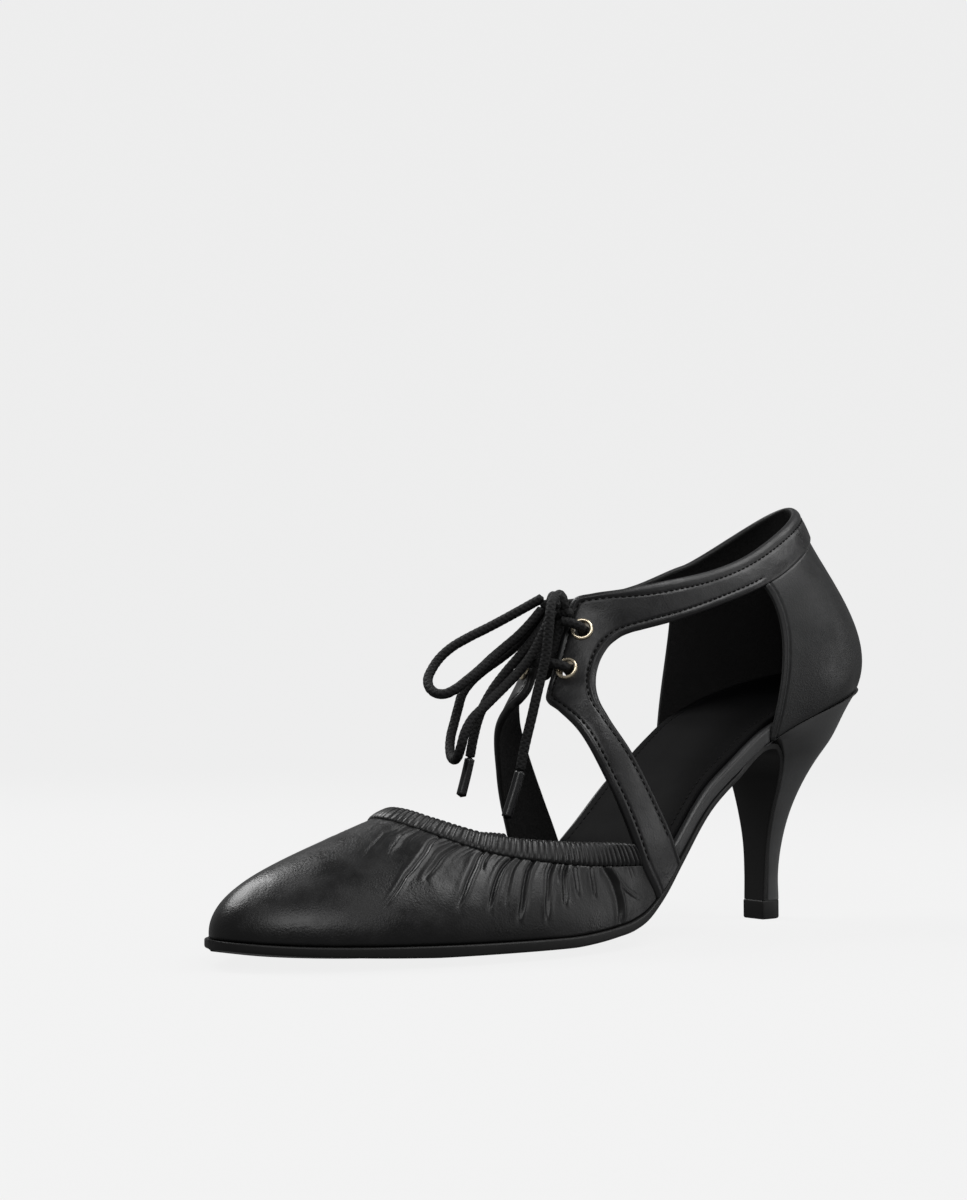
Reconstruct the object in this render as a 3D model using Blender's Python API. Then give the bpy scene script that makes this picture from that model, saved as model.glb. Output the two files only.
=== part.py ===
"""Left lace-up court shoe: pointed vamp, open waist, laced straps, high counter and slim covered heel.

The toe points to -X, the outer (lateral) side to -Y and up is +Z. The shoe stands on z = 0. Sizes are in
millimetres and become metres when an object is made.
"""

import math

import bmesh
import bpy
import numpy as np

MM = 0.001
GAP = 0.3
SIDES = {"lateral": -1.0, "medial": 1.0}
UP = np.array([0.0, 0.0, 1.0])


def table(columns, rows):
    """Rows of sizes as arrays by column name."""
    return dict(zip(columns.split(), np.array(rows, float).T))


# Last: plan of the feather edge, where upper meets sole, as half widths from toe tip to back of heel.
OUTLINE = table(
    "x lateral medial",
    [
        (-115.4, 0.0, 0.0),
        (-114.3, 5.2, 4.8),
        (-111.0, 10.2, 9.4),
        (-100.0, 19.8, 19.8),
        (-85.0, 27.5, 28.7),
        (-70.0, 32.5, 34.5),
        (-50.0, 36.5, 37.5),
        (-30.0, 38.0, 36.0),
        (-10.0, 35.5, 30.5),
        (10.0, 30.5, 25.0),
        (30.0, 26.5, 22.5),
        (50.0, 25.5, 24.0),
        (66.0, 25.8, 25.4),
        (84.0, 25.6, 25.4),
        (97.0, 22.8, 22.8),
        (106.0, 18.0, 18.0),
        (112.3, 10.8, 10.8),
        (115.2, 0.0, 0.0),
    ],
)

# Underside: tread is the ground face of the outsole at its edges and seat the face that carries the board;
# the middle of the tread lies lower than its edges by dome, down to the ground under the ball.
BOTTOM = table(
    "x tread seat dome",
    [
        (-118.0, 5.2, 7.3, 0.4),
        (-105.0, 4.1, 6.4, 1.3),
        (-90.0, 3.3, 5.8, 2.0),
        (-75.0, 2.7, 5.5, 2.4),
        (-68.0, 2.5, 5.4, 2.5),
        (-30.0, 2.5, 5.2, 2.5),
        (-22.0, 2.9, 5.5, 2.0),
        (-12.0, 3.9, 6.4, 1.4),
        (-4.0, 5.1, 7.6, 0.9),
        (3.0, 7.4, 9.9, 0.4),
        (10.0, 12.0, 14.5, 0.3),
        (20.0, 21.5, 24.0, 0.3),
        (33.5, 35.0, 37.5, 0.3),
        (46.0, 44.0, 46.5, 0.3),
        (52.0, 48.0, 50.8, 0.3),
        (56.4, 50.2, 53.7, 0.3),
        (65.0, 52.8, 58.0, 0.3),
        (73.4, 53.0, 61.5, 0.3),
        (90.0, 53.0, 66.8, 0.3),
        (110.0, 53.0, 72.3, 0.3),
        (117.0, 53.0, 74.0, 0.3),
    ],
)

# Vamp: a rib runs from the feather edge to the spine or, past the throat station, to the throat edge.
# run is the way that the leather goes on past the rib's top end, fan turns the rib across the spine, and
# rise, reach and flare set its two handles.
THROAT_STATION = 0.4
VAMP = table(
    "station x lateral medial z run_x run_y run_z fan rise reach flare",
    [
        (0.00, -97.0, 0.0, 0.0, 25.1, 1.00, 0.00, 0.36, 0, 9.0, 9.2, 0.8),
        (0.12, -92.0, 0.0, 0.0, 26.9, 1.00, 0.00, 0.36, 42, 9.8, 9.2, 1.0),
        (0.25, -83.5, 0.0, 0.0, 29.9, 1.00, 0.00, 0.36, 58, 11.2, 10.8, 1.2),
        (0.40, -65.8, 0.0, 0.0, 36.0, 1.00, 0.00, 0.42, 58, 12.5, 14.0, 1.4),
        (0.45, -64.6, 5.3, 5.3, 35.5, 0.96, -0.15, 0.42, 50, 12.8, 14.0, 1.4),
        (0.52, -60.6, 12.8, 12.8, 33.3, 0.86, -0.35, 0.46, 38, 12.5, 12.5, 1.3),
        (0.62, -49.8, 24.3, 23.8, 28.2, 0.60, -0.52, 0.64, 16, 10.5, 9.0, 1.2),
        (0.80, -25.0, 32.6, 30.0, 23.6, 0.16, -0.42, 0.89, 2, 7.5, 6.0, 1.2),
        (1.00, 1.6, 32.0, 25.4, 22.0, -0.44, -0.03, 0.90, 0, 3.5, 3.5, 0.3),
    ],
)

# Strap, facing and collar as one band: its front (upper) edge and its rear (lower) edge, from the feather
# edge up to the facing and back to where the collar starts its turn round the heel. The medial side runs
# lower by drop.
STRAP_FRONT_FOOT = 7.4
STRAP_REAR_FOOT = 18.0
BIND_ROW = 1
BAND = table(
    "front_x front_lateral front_medial front_z rear_x rear_lateral rear_medial rear_z crown drop",
    [
        (7.4, 31.2, 25.7, 12.9, 18.0, 28.6, 23.7, 22.6, 0.2, 0.0),
        (1.6, 32.0, 25.4, 22.0, 14.0, 29.0, 23.0, 30.6, 0.4, 0.0),
        (-1.8, 31.0, 24.8, 31.2, 10.2, 28.3, 22.4, 38.0, 0.6, 0.0),
        (-6.6, 26.6, 22.6, 45.9, 2.8, 25.4, 21.2, 53.0, 0.8, 0.0),
        (-10.7, 18.2, 17.2, 60.5, -1.9, 21.0, 19.4, 62.9, 0.9, 0.0),
        (-11.6, 11.2, 11.0, 65.4, -3.4, 18.6, 18.0, 68.0, 1.0, 0.0),
        (-11.6, 6.4, 6.4, 68.0, -3.2, 17.0, 16.8, 72.0, 1.0, 0.0),
        (-9.9, 4.9, 4.9, 70.8, -2.3, 16.0, 16.0, 74.6, 0.9, 0.0),
        (-7.9, 4.7, 4.7, 75.6, -1.0, 15.2, 15.2, 77.0, 0.8, 0.0),
        (-4.4, 4.5, 4.5, 85.6, 2.2, 14.6, 14.6, 81.6, 0.8, 0.0),
        (-1.7, 4.5, 4.5, 93.8, 5.8, 14.6, 14.6, 84.8, 0.8, 0.3),
        (-0.4, 5.6, 5.6, 97.0, 8.6, 15.0, 15.0, 86.5, 0.7, 0.7),
        (3.0, 9.0, 9.0, 98.2, 11.5, 15.6, 15.6, 87.6, 0.6, 1.1),
        (10.0, 12.8, 12.8, 99.4, 15.5, 16.6, 16.6, 88.6, 0.5, 1.8),
        (25.0, 16.6, 16.6, 102.4, 26.0, 18.6, 18.6, 91.2, 0.5, 3.0),
        (43.6, 17.4, 17.4, 106.4, 44.0, 20.2, 20.2, 96.6, 0.4, 3.0),
        (60.0, 16.4, 16.4, 112.0, 62.2, 20.9, 20.9, 103.1, 0.4, 2.6),
    ],
)
COLLAR_BACK = {"front": (94.2, 129.6), "rear": (96.6, 121.4)}
COLLAR_CLIMB = {
    "lateral": {"front": 1.0, "rear": 1.1},
    "medial": {"front": 1.3, "rear": 1.3},
}
COLLAR_ROUND = {"front": 1.85, "rear": 2.15}
HEEL_TURNS = 9
HEEL_ROUND = 2.3

# Counter: ribs from the seat up to the collar band.
COUNTER_FOOT_X = 59.5
COUNTER_RISE = 15.0
COUNTER_REACH = 14.0
COUNTER_BULGE = {"side": 2.4, "back": 9.0}
COUNTER_SHOULDER = {"side": 0.8, "back": -1.0}
COUNTER_FRONT_BOW = 3.4

UPPER_WALL = 1.4
BAND_LIFT = 0.8
RIM_CLEARANCE = 0.5

BINDING_WIDTH = 6.6
BINDING_OUTSIDE = 0.9
BINDING_INSIDE = 1.8
BINDING_END = 0.994
BINDING_GAP = 0.4
BINDING_ROUND = 0.6
BINDING_COLUMNS = 27
BINDING_SIDES = 10

# Sole, board and sock.
OUTSOLE_MARGIN = {"forefoot": 1.1, "waist": 0.5}
OUTSOLE_FLAT = 0.25
OUTSOLE_DOME_FALL = 1.6
OUTSOLE_EDGE_ROUND = 0.7
OUTSOLE_TOE = -116.4
OUTSOLE_TOE_END = -60.0
OUTSOLE_WAIST_END = 46.0
FLAP_THICKNESS = 1.4
FLAP_EDGE_ROUND = 0.3
# Lower face of the outsole where it leaves the board and turns down the front of the heel.
FLAP = table(
    "x z half",
    [
        (50.0, 47.5, 24.8),
        (54.0, 50.2, 24.2),
        (59.0, 52.4, 22.8),
        (64.0, 53.1, 20.4),
        (69.0, 53.2, 17.6),
        (73.0, 52.7, 15.0),
        (76.0, 50.6, 13.0),
        (77.6, 47.0, 11.4),
        (78.0, 42.0, 10.0),
        (78.0, 34.0, 7.4),
        (78.0, 24.0, 5.2),
        (77.8, 14.0, 4.4),
        (77.5, 6.4, 4.2),
    ],
)
BOARD_INSET = {"covered": 1.9, "waist": 0.5}
BOARD_THICKNESS = {"toe": 2.2, "waist": 4.0}
SOCK_INSET = 1.3
SOCK_THICKNESS = 1.5
LAYER_TIP = 0.04
LAYER_END = 30.0
LAYER_ROUND = {"board": 0.7, "sock": 0.5}

# Heel: each section runs from its front edge to its back, with half widths at the front and at the widest.
HEEL = table(
    "front_x front_z back_x back_z front_half widest_half",
    [
        (79.7, 6.3, 86.5, 6.3, 4.2, 4.4),
        (79.8, 14.0, 86.1, 14.0, 4.4, 4.6),
        (79.8, 24.0, 87.2, 24.0, 5.2, 5.8),
        (79.8, 33.0, 89.4, 33.0, 7.2, 7.9),
        (79.8, 41.0, 92.8, 41.4, 9.8, 10.8),
        (79.5, 47.4, 97.2, 49.0, 11.6, 14.0),
        (77.6, 52.4, 102.4, 56.0, 13.6, 17.6),
        (72.6, 54.9, 107.2, 62.2, 17.0, 20.8),
        (65.0, 54.9, 111.4, 67.6, 21.6, 23.6),
        (57.5, 54.3, 115.3, 73.3, 25.6, 25.9),
    ],
)
HEEL_WIDEST = 0.42
HEEL_COLUMNS = 13
TOP_PIECE = {"front": 77.2, "back": 86.9, "half": 4.5, "height": 5.8, "taper": 0.2}
TOP_PIECE_BEVEL = {"width": 0.25, "height": 0.4}
TOP_PIECE_COLUMNS = 11

# Eyelets sit on the facing: row along the band, share across it from the front edge.
EYELETS = {"lower": (8.0, 0.36), "upper": (9.55, 0.40)}
EYELET_HOLE = 2.75
EYELET_BORE = 2.3
EYELET_BARREL = 2.55
EYELET_FLANGE = 3.25
EYELET_ROLL = 0.6
EYELET_SEAT = {"outside": 0.3, "inside": 0.6}
EYELET_SIDES = 16
CUTTER_REACH = 6.0

LACE_RADIUS = 1.4
LACE_STAND_OFF = 3.1
LACE_INSIDE = 5.6
KNOT_CENTRE = (-5.9, -4.0, 95.0)
KNOT_RADII = (3.1, 3.9, 3.9)
TIP_RADIUS = 1.45
LACE_ROUTES = {
    "lace_loop_high": [
        (-9.3, -1.2, 97.1), (-14.4, 4.0, 93.1), (-20.4, 9.0, 88.9), (-25.8, 12.3, 85.7),
        (-29.6, 14.8, 83.0), (-32.6, 16.4, 80.0), (-35.3, 16.7, 76.6), (-37.5, 15.6, 73.7),
        (-38.4, 13.4, 71.2), (-37.9, 10.8, 69.7), (-36.5, 8.6, 69.6), (-34.5, 7.2, 70.7),
        (-30.7, 6.0, 73.5), (-26.9, 5.3, 76.4), (-23.1, 4.9, 79.5), (-18.7, 4.2, 82.9),
        (-15.2, 2.2, 86.3), (-12.4, 0.0, 90.0), (-9.9, -1.9, 93.8),
    ],
    "lace_loop_low": [
        (-7.5, -0.5, 92.4), (-9.0, 3.0, 88.4), (-11.4, 7.2, 84.0), (-14.9, 10.4, 80.2),
        (-19.9, 12.5, 76.4), (-24.0, 13.3, 73.0), (-26.8, 13.5, 69.6), (-28.4, 13.3, 65.7),
        (-29.9, 13.2, 61.4), (-31.4, 12.8, 57.6), (-32.8, 11.4, 54.2), (-34.0, 9.1, 51.8),
        (-35.0, 6.3, 51.1), (-35.8, 3.6, 52.3), (-36.1, 1.8, 55.0), (-35.3, 1.2, 58.6),
        (-33.1, 1.0, 62.2), (-29.0, 0.3, 66.0), (-22.2, -0.5, 71.8), (-18.3, -1.4, 75.6),
        (-15.2, -2.6, 79.6), (-12.9, -4.2, 84.4), (-11.2, -5.8, 89.4), (-9.7, -6.5, 93.3),
    ],
    "lace_end_front": [
        (-9.4, -6.9, 96.8), (-11.6, -8.5, 95.6), (-13.0, -9.4, 93.0), (-13.6, -9.7, 89.4),
        (-13.9, -9.4, 85.0), (-14.2, -8.8, 80.0), (-14.8, -8.0, 75.6), (-15.8, -7.4, 71.0),
        (-17.4, -6.5, 63.2), (-19.1, -5.5, 55.1), (-20.4, -5.0, 48.4),
    ],
    "lace_end_back": [
        (-8.8, -3.5, 91.3), (-11.4, -1.4, 86.4), (-14.6, 2.0, 80.8), (-17.8, 4.6, 76.0),
        (-21.5, 6.6, 70.4), (-24.9, 7.6, 63.9), (-27.0, 8.2, 56.5), (-27.9, 8.4, 51.9),
    ],
}
LACE_TIPS = {
    "lace_tip_front": [(-20.55, -4.95, 47.6), (-22.4, -4.8, 42.2), (-25.0, -4.5, 35.3)],
    "lace_tip_back": [(-28.0, 8.4, 51.1), (-29.2, 8.5, 46.6), (-30.9, 8.6, 41.0)],
}
LACE_STEP = 4.5
BAR_STEP = 2.6
# Lace at the eyelets: reach past the rim, distance between the two inside strands, bow of the outside bar
# and where its ends lie beside the knot.
BAR_REACH = 2.2
BAR_LIP = 1.4
BAR_DEEP = 1.0
BAR_CROSS = 1.7
BAR_BOW = (-3.0, 0.0, 0.4)
BAR_END = (1.2, 1.9, -2.6)
KNOT_ROWS = 9
KNOT_COLUMNS = 12
KNOT_LUMP = 0.07


def unit(vectors):
    """Vectors scaled to length one."""
    vectors = np.asarray(vectors, float)
    return vectors / np.linalg.norm(vectors, axis=-1, keepdims=True)


def smooth(knots, values, at, level=False, ends=None):
    """Cubic curve through the rows of values; level keeps flat stretches flat, ends gives end slopes."""
    knots = np.asarray(knots, float)
    values = np.asarray(values, float).reshape(len(knots), -1)
    at = np.atleast_1d(np.asarray(at, float))
    steps = np.diff(knots)[:, None]
    chords = np.diff(values, axis=0) / steps
    inner = (steps[1:] * chords[:-1] + steps[:-1] * chords[1:]) / (steps[1:] + steps[:-1])
    if level:
        least = np.minimum(abs(chords[:-1]), abs(chords[1:]))
        same_way = chords[:-1] * chords[1:] > 0
        inner = np.where(same_way, np.sign(inner) * np.minimum(abs(inner), 3 * least), 0.0)
    first, last = ends if ends is not None else (chords[0], chords[-1])
    slopes = np.vstack([first, inner, last])
    index = np.clip(np.searchsorted(knots, at, side="right") - 1, 0, len(knots) - 2)
    width = steps[index]
    f = (at - knots[index])[:, None] / width
    ease = f * f * (3 - 2 * f)
    return (
        values[index] * (1 - ease)
        + values[index + 1] * ease
        + width * slopes[index] * f * (1 - f) ** 2
        - width * slopes[index + 1] * f * f * (1 - f)
    )


def chord_knots(points):
    """Running length along a row of points."""
    return np.concatenate([[0.0], np.cumsum(np.linalg.norm(np.diff(points, axis=0), axis=1))])


def bezier(a, b, c, d, shares):
    """Cubic Bezier from a to d at the given shares."""
    t = np.asarray(shares, float)[:, None]
    return (1 - t) ** 3 * a + 3 * t * (1 - t) ** 2 * b + 3 * t * t * (1 - t) * c + t**3 * d


def eased(x, low, high):
    """0 below low, 1 above high, with a smooth change between."""
    f = np.clip((np.asarray(x, float) - low) / (high - low), 0, 1)
    return f * f * (3 - 2 * f)


def height(column, x):
    """Height of the tread or the seat, or depth of the dome, at x."""
    return smooth(BOTTOM["x"], BOTTOM[column], x, level=True)[:, 0]


def feather(side, shift=0.0):
    """Dense plan of the feather edge, moved out by shift: x, half width, outward normals, running length."""
    points = np.column_stack([OUTLINE["x"], OUTLINE[side]])
    knots = chord_knots(points)
    curve = smooth(knots, points, np.linspace(0, knots[-1], 900), ends=((0, 1), (0, -1)))
    tangents = unit(np.gradient(curve, axis=0))
    tangents[0] = (0, 1)
    tangents[-1] = (0, -1)
    normals = np.column_stack([-tangents[:, 1], tangents[:, 0]])
    shift = np.broadcast_to(np.asarray(shift, float).reshape(-1, 1), (len(curve), 1))
    moved = curve + normals * shift
    return moved[:, 0], moved[:, 1], normals, chord_knots(curve)


def half_width(side, x, shift):
    """Half width of the feather outline at x, moved out by shift along its normals."""
    xs, ys, _, _ = feather(side, shift)
    return np.interp(x, xs, ys)


def on_side(side, points):
    """Points given with outward y, put on their side of the shoe."""
    points = np.array(points, float)
    points[..., 1] *= SIDES[side]
    return points


def feather_points(side, lengths):
    """Points on the rim line of the upper and outward normals, at running lengths from the toe tip."""
    xs, ys, normals, run = feather(side)
    x = np.interp(lengths, run, xs)
    y = np.interp(lengths, run, ys)
    out_x = np.interp(lengths, run, normals[:, 0])
    out_y = np.interp(lengths, run, normals[:, 1])
    points = np.column_stack([x, y, height("seat", x) + RIM_CLEARANCE])
    return points, np.column_stack([out_x, out_y, np.zeros(len(x))])


def length_at(side, x):
    """Running length of the feather edge where it reaches x."""
    xs, _, _, run = feather(side)
    return np.interp(x, xs, run)


def vamp_row(side, station):
    """All vamp values at one station, and the way the throat edge runs outward there."""
    names = ("x", side, "z", "run_x", "run_y", "run_z", "fan", "rise", "reach", "flare")
    values = np.column_stack([VAMP[name] for name in names])
    knots = VAMP["station"]
    turn = int(np.argmin(abs(knots - THROAT_STATION)))
    if station < THROAT_STATION:
        return smooth(knots[: turn + 1], values[: turn + 1], station)[0], np.array([0.0, 1.0, 0.0])
    mirrored = values[turn + 1] * np.where([name in (side, "run_y") for name in names], -1, 1)
    edge_knots = np.concatenate([[2 * knots[turn] - knots[turn + 1]], knots[turn:]])
    edge_values = np.vstack([mirrored, values[turn:]])
    here, ahead = smooth(edge_knots, edge_values, [station, station + 0.002])
    behind = smooth(edge_knots, edge_values, station - 0.002)[0]
    return here, unit(ahead[:3] - behind[:3])


def vamp_rib(side, station, shares):
    """Points of one rib of the vamp, from the feather edge up, with outward y."""
    row, edge = vamp_row(side, station)
    foot, outward = feather_points(side, [station * length_at(side, STRAP_FRONT_FOOT)])
    top, run = row[:3], unit(row[3:6])
    fan, rise, reach, flare = row[6:]
    inward = math.cos(math.radians(fan)) * run - math.sin(math.radians(fan)) * edge
    lean = station**4
    low = foot[0] + unit((1 - lean) * UP + lean * run) * rise + outward[0] * flare
    return bezier(foot[0], low, top - inward * reach, top, shares)


def throat_frame(side, station):
    """Throat edge point, the way on over the binding, and the outward normal, with outward y."""
    row, edge = vamp_row(side, station)
    run = unit(row[3:6])
    normal = unit(np.cross(run, edge))
    return row[:3], run, normal * (1 if normal[2] > 0 or normal[1] > 0 else -1)


def band_rows(side):
    """Front and rear edge of the band and its crown, row by row to the back of the heel, with outward y."""
    drop = BAND["drop"] if side == "medial" else 0.0
    front = np.column_stack([BAND["front_x"], BAND["front_" + side], BAND["front_z"] - drop])
    rear = np.column_stack([BAND["rear_x"], BAND["rear_" + side], BAND["rear_z"] - drop])
    angles = np.linspace(0, math.pi / 2, HEEL_TURNS + 1)[1:]
    edges = []
    for edge, name in ((front, "front"), (rear, "rear")):
        back_x, back_z = COLLAR_BACK[name]
        power = 2 / COLLAR_ROUND[name]
        start = edge[-1]
        ahead = np.sin(angles) ** power
        turn_x = start[0] + (back_x - start[0]) * ahead
        turn_y = start[1] * abs(np.cos(angles)) ** power
        turn_y[-1] = 0.0
        turn_z = start[2] + (back_z - start[2]) * ahead ** COLLAR_CLIMB[side][name]
        edges.append(np.vstack([edge, np.column_stack([turn_x, turn_y, turn_z])]))
    crown = np.concatenate([BAND["crown"], np.full(HEEL_TURNS, BAND["crown"][-1])])
    return edges[0], edges[1], crown


def band_knots():
    """Running length of the band's middle at each row, the same for both sides."""
    front, rear, _ = band_rows("lateral")
    return chord_knots((front + rear) / 2)


def band_section(side, at, shares, front=None):
    """Points across the band at running length at, from front edge to rear edge, with outward y."""
    front_rows, rear_rows, crowns = band_rows(side)
    values = np.column_stack([front_rows, rear_rows, crowns])
    here = smooth(band_knots(), values, at)[0]
    start = here[:3] if front is None else front
    end = here[3:6]
    ahead = smooth(band_knots(), values, at + 0.5)[0]
    behind = smooth(band_knots(), values, at - 0.5)[0]
    along = (ahead[:3] + ahead[3:6] - behind[:3] - behind[3:6]) / 2
    outward = unit(np.cross(along, end - start))
    q = np.asarray(shares, float)[:, None]
    return start + (end - start) * q + outward * here[6] * 4 * q * (1 - q)


def band_point(side, row, share):
    """Point on the band's own face and its outward normal, at a row counted along BAND, on its side."""
    knots = band_knots()
    at = np.interp(row, np.arange(len(knots)), knots)
    shares = (share - 0.02, share, share + 0.02)
    across = band_section(side, at, shares)
    along = band_section(side, at + 0.4, [share])[0] - band_section(side, at - 0.4, [share])[0]
    normal = unit(np.cross(along, across[2] - across[0]))
    point = across[1] + normal * BAND_LIFT
    return on_side(side, point), on_side(side, normal)


def counter_rib(side, share, top, upward, shares):
    """Points of one rib of the counter, from the seat up to the band's lower edge, with outward y."""
    first = length_at(side, COUNTER_FOOT_X)
    last = feather(side)[3][-1]
    foot, outward = feather_points(side, [first + (last - first) * share])
    bulge = COUNTER_BULGE["side"] + (COUNTER_BULGE["back"] - COUNTER_BULGE["side"]) * share
    shoulder = COUNTER_SHOULDER["side"] + (COUNTER_SHOULDER["back"] - COUNTER_SHOULDER["side"]) * share
    bow = np.array([COUNTER_FRONT_BOW * (1 - eased(share, 0, 0.5)), 0, 0])
    low = foot[0] + UP * COUNTER_RISE + outward[0] * bulge + bow
    high = top - upward * COUNTER_REACH + outward[0] * shoulder + bow
    return bezier(foot[0], low, high, top, shares)


def upper_patches(rib_steps=8, band_steps=4, spine_columns=9, throat_columns=15, band_stretch=3.4):
    """Quad patches of the upper's outer face as (grid, lift, flip), with shared edges point for point."""
    ribs = np.linspace(0, 1, rib_steps + 1)
    across = np.linspace(0, 1, band_steps + 1)
    spine = np.linspace(0, THROAT_STATION, spine_columns + 1)
    stations = np.concatenate([spine, np.linspace(THROAT_STATION, 1, throat_columns + 1)[1:]])
    knots = band_knots()
    turn = len(BAND["crown"]) - 1
    climb_steps = round((knots[turn] - knots[BIND_ROW]) / band_stretch)
    climb = np.linspace(knots[BIND_ROW], knots[turn], climb_steps + 1)
    seam = band_section("lateral", knots[-1], across)
    seam[:, 1] = 0.0
    patches = []
    for side in SIDES:
        vamp = np.array([vamp_rib(side, station, ribs) for station in stations])
        low = [
            band_section(side, knots[BIND_ROW] * share, across, start) for share, start in zip(ribs, vamp[-1])
        ]
        high = [band_section(side, at, across) for at in climb[1:]]
        turned = [band_section(side, at, across) for at in knots[turn + 1 : -1]] + [seam]
        collar = [high[-1]] + turned
        collar_share = (knots[turn:] - knots[turn]) / (knots[-1] - knots[turn])
        counter = []
        for section, share in zip(collar, collar_share):
            upward = unit(section[0] - section[-1])
            counter.append(counter_rib(side, share, section[-1], upward, ribs))
        medial = side == "medial"
        band = np.array(low + high + turned)
        counter = np.array(counter)
        counter[-1, :, 1] = 0.0
        patches.append((on_side(side, vamp), 0.0, medial))
        patches.append((on_side(side, band), BAND_LIFT, not medial))
        patches.append((on_side(side, counter), 0.0, medial))
    return patches


def merge_patches(patches):
    """Base points, quads and each quad's lift, with points that coincide made one."""
    index = {}
    points = []
    faces = []
    for grid, lift, flip in patches:
        ids = np.zeros(grid.shape[:2], int)
        for place in np.ndindex(ids.shape):
            key = tuple(np.round(grid[place], 3) + 0.0)
            if key not in index:
                index[key] = len(points)
                points.append(grid[place])
            ids[place] = index[key]
        for i in range(ids.shape[0] - 1):
            for j in range(ids.shape[1] - 1):
                quad = (ids[i, j], ids[i + 1, j], ids[i + 1, j + 1], ids[i, j + 1])
                faces.append((quad[::-1] if flip else quad, lift))
    return np.array(points), faces


def point_normals(points, faces):
    """Outward normals of the base points, weighted by face area."""
    normals = np.zeros_like(points)
    for quad, _ in faces:
        a, b, c, d = points[list(quad)]
        normals[list(quad)] += np.cross(c - a, d - b)
    return unit(normals)


def shell(patches, wall):
    """Closed wall over the patches: outer face, inner face, a riser at each step and a rim at each edge."""
    base, faces = merge_patches(patches)
    normals = point_normals(base, faces)
    verts = [tuple(p) for p in base - normals * wall]
    outer = {}
    lifts = [set() for _ in base]
    edge_lift = {}
    for quad, lift in faces:
        for k, corner in enumerate(quad):
            edge_lift[corner, quad[(k + 1) % 4]] = lift
            lifts[corner].add(lift)
            if (corner, lift) not in outer:
                outer[corner, lift] = len(verts)
                verts.append(tuple(base[corner] + normals[corner] * lift))
    polygons = []
    for quad, lift in faces:
        polygons.append([outer[corner, lift] for corner in quad])
        polygons.append([int(corner) for corner in quad[::-1]])
    for (a, b), lift in edge_lift.items():
        over = edge_lift.get((b, a))
        if over is None:
            polygons += rim_faces(a, b, lift, lifts, outer)
        elif lift > over:
            polygons.append([outer[b, lift], outer[a, lift], outer[a, over], outer[b, over]])
    return np.array(verts), polygons


def rim_faces(a, b, lift, lifts, outer):
    """Faces that close the wall along one free edge, split where a step in the wall runs out to the edge."""
    ring = [outer[b, lift], outer[a, lift], int(a), int(b)]
    for corner in (a, b):
        below = [other for other in lifts[corner] if other < lift]
        if below:
            hub = outer[corner, below[0]]
            order = [2, 3, 0, 1] if corner == a else [0, 1, 2, 3]
            chain = [ring[k] for k in order]
            return [[hub, chain[k], chain[k + 1]] for k in range(3)]
    return [ring]


def material(name, colour, roughness, metallic=0.0):
    """Principled material of one piece."""
    made = bpy.data.materials.new(name)
    made.use_nodes = True
    node = made.node_tree.nodes["Principled BSDF"]
    node.inputs["Base Color"].default_value = (*colour, 1.0)
    node.inputs["Roughness"].default_value = roughness
    node.inputs["Metallic"].default_value = metallic
    made.diffuse_color = (*colour, 1.0)
    return made


LEATHER = ((0.012, 0.012, 0.013), 0.42)
SOLE_RUBBER = ((0.014, 0.014, 0.014), 0.6)
CORD = ((0.010, 0.010, 0.011), 0.7)
PALE_GOLD = ((0.83, 0.68, 0.47), 0.25, 1.0)
TIP_PLASTIC = ((0.03, 0.03, 0.032), 0.2)


def add_object(name, mesh, look):
    """Object for a finished mesh, shaded smooth with sharp creases kept."""
    mesh.materials.append(material(name, *look))
    mesh.shade_smooth()
    mesh.set_sharp_from_angle(angle=math.radians(40))
    made = bpy.data.objects.new(name, mesh)
    bpy.context.scene.collection.objects.link(made)
    return made


def add_mesh(name, points, polygons, look):
    """Object from points in millimetres."""
    mesh = bpy.data.meshes.new(name)
    mesh.from_pydata([tuple(p) for p in np.asarray(points) * MM], [], polygons)
    work = bmesh.new()
    work.from_mesh(mesh)
    bmesh.ops.recalc_face_normals(work, faces=work.faces)
    work.to_mesh(mesh)
    work.free()
    return add_object(name, mesh, look)


def loft(name, rings, look):
    """Closed solid through rings of equal count, with flat fans over both ends."""
    rings = np.asarray(rings, float)
    count = rings.shape[1]
    polygons = []
    for i in range(len(rings) - 1):
        for k in range(count):
            after = (k + 1) % count
            polygons.append(
                [i * count + k, i * count + after, (i + 1) * count + after, (i + 1) * count + k]
            )
    polygons.append(list(range(count)))
    polygons.append(list(range((len(rings) - 1) * count, len(rings) * count)))
    return add_mesh(name, rings.reshape(-1, 3), polygons, look)


def section_ring(low, high, lateral, medial, dome=0.0, shrink=0.0, places=4):
    """Ring across the shoe between a lower and an upper (x, z) edge point, domed below, edges rounded."""
    ring = []
    for share in np.linspace(-1, 1, 2 * places + 1):
        half = medial if share > 0 else lateral
        past_flat = max(0.0, (abs(share) - OUTSOLE_FLAT) / (1 - OUTSOLE_FLAT))
        drop = dome * (1 - past_flat) ** OUTSOLE_DOME_FALL
        ring.append((low[0], share * (half - shrink), low[1] - drop))
    for side, half, parts in ((1, medial, (0.3, 1.0)), (-1, lateral, (1.0, 0.3))):
        for part in parts:
            x, z = np.array(low) + (np.array(high) - np.array(low)) * part
            ring.append((x, side * half, z))
    return ring


def graded(start, stop, count):
    """Stations that crowd towards the start."""
    return start + (stop - start) * np.linspace(0, 1, count) ** 2


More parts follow.
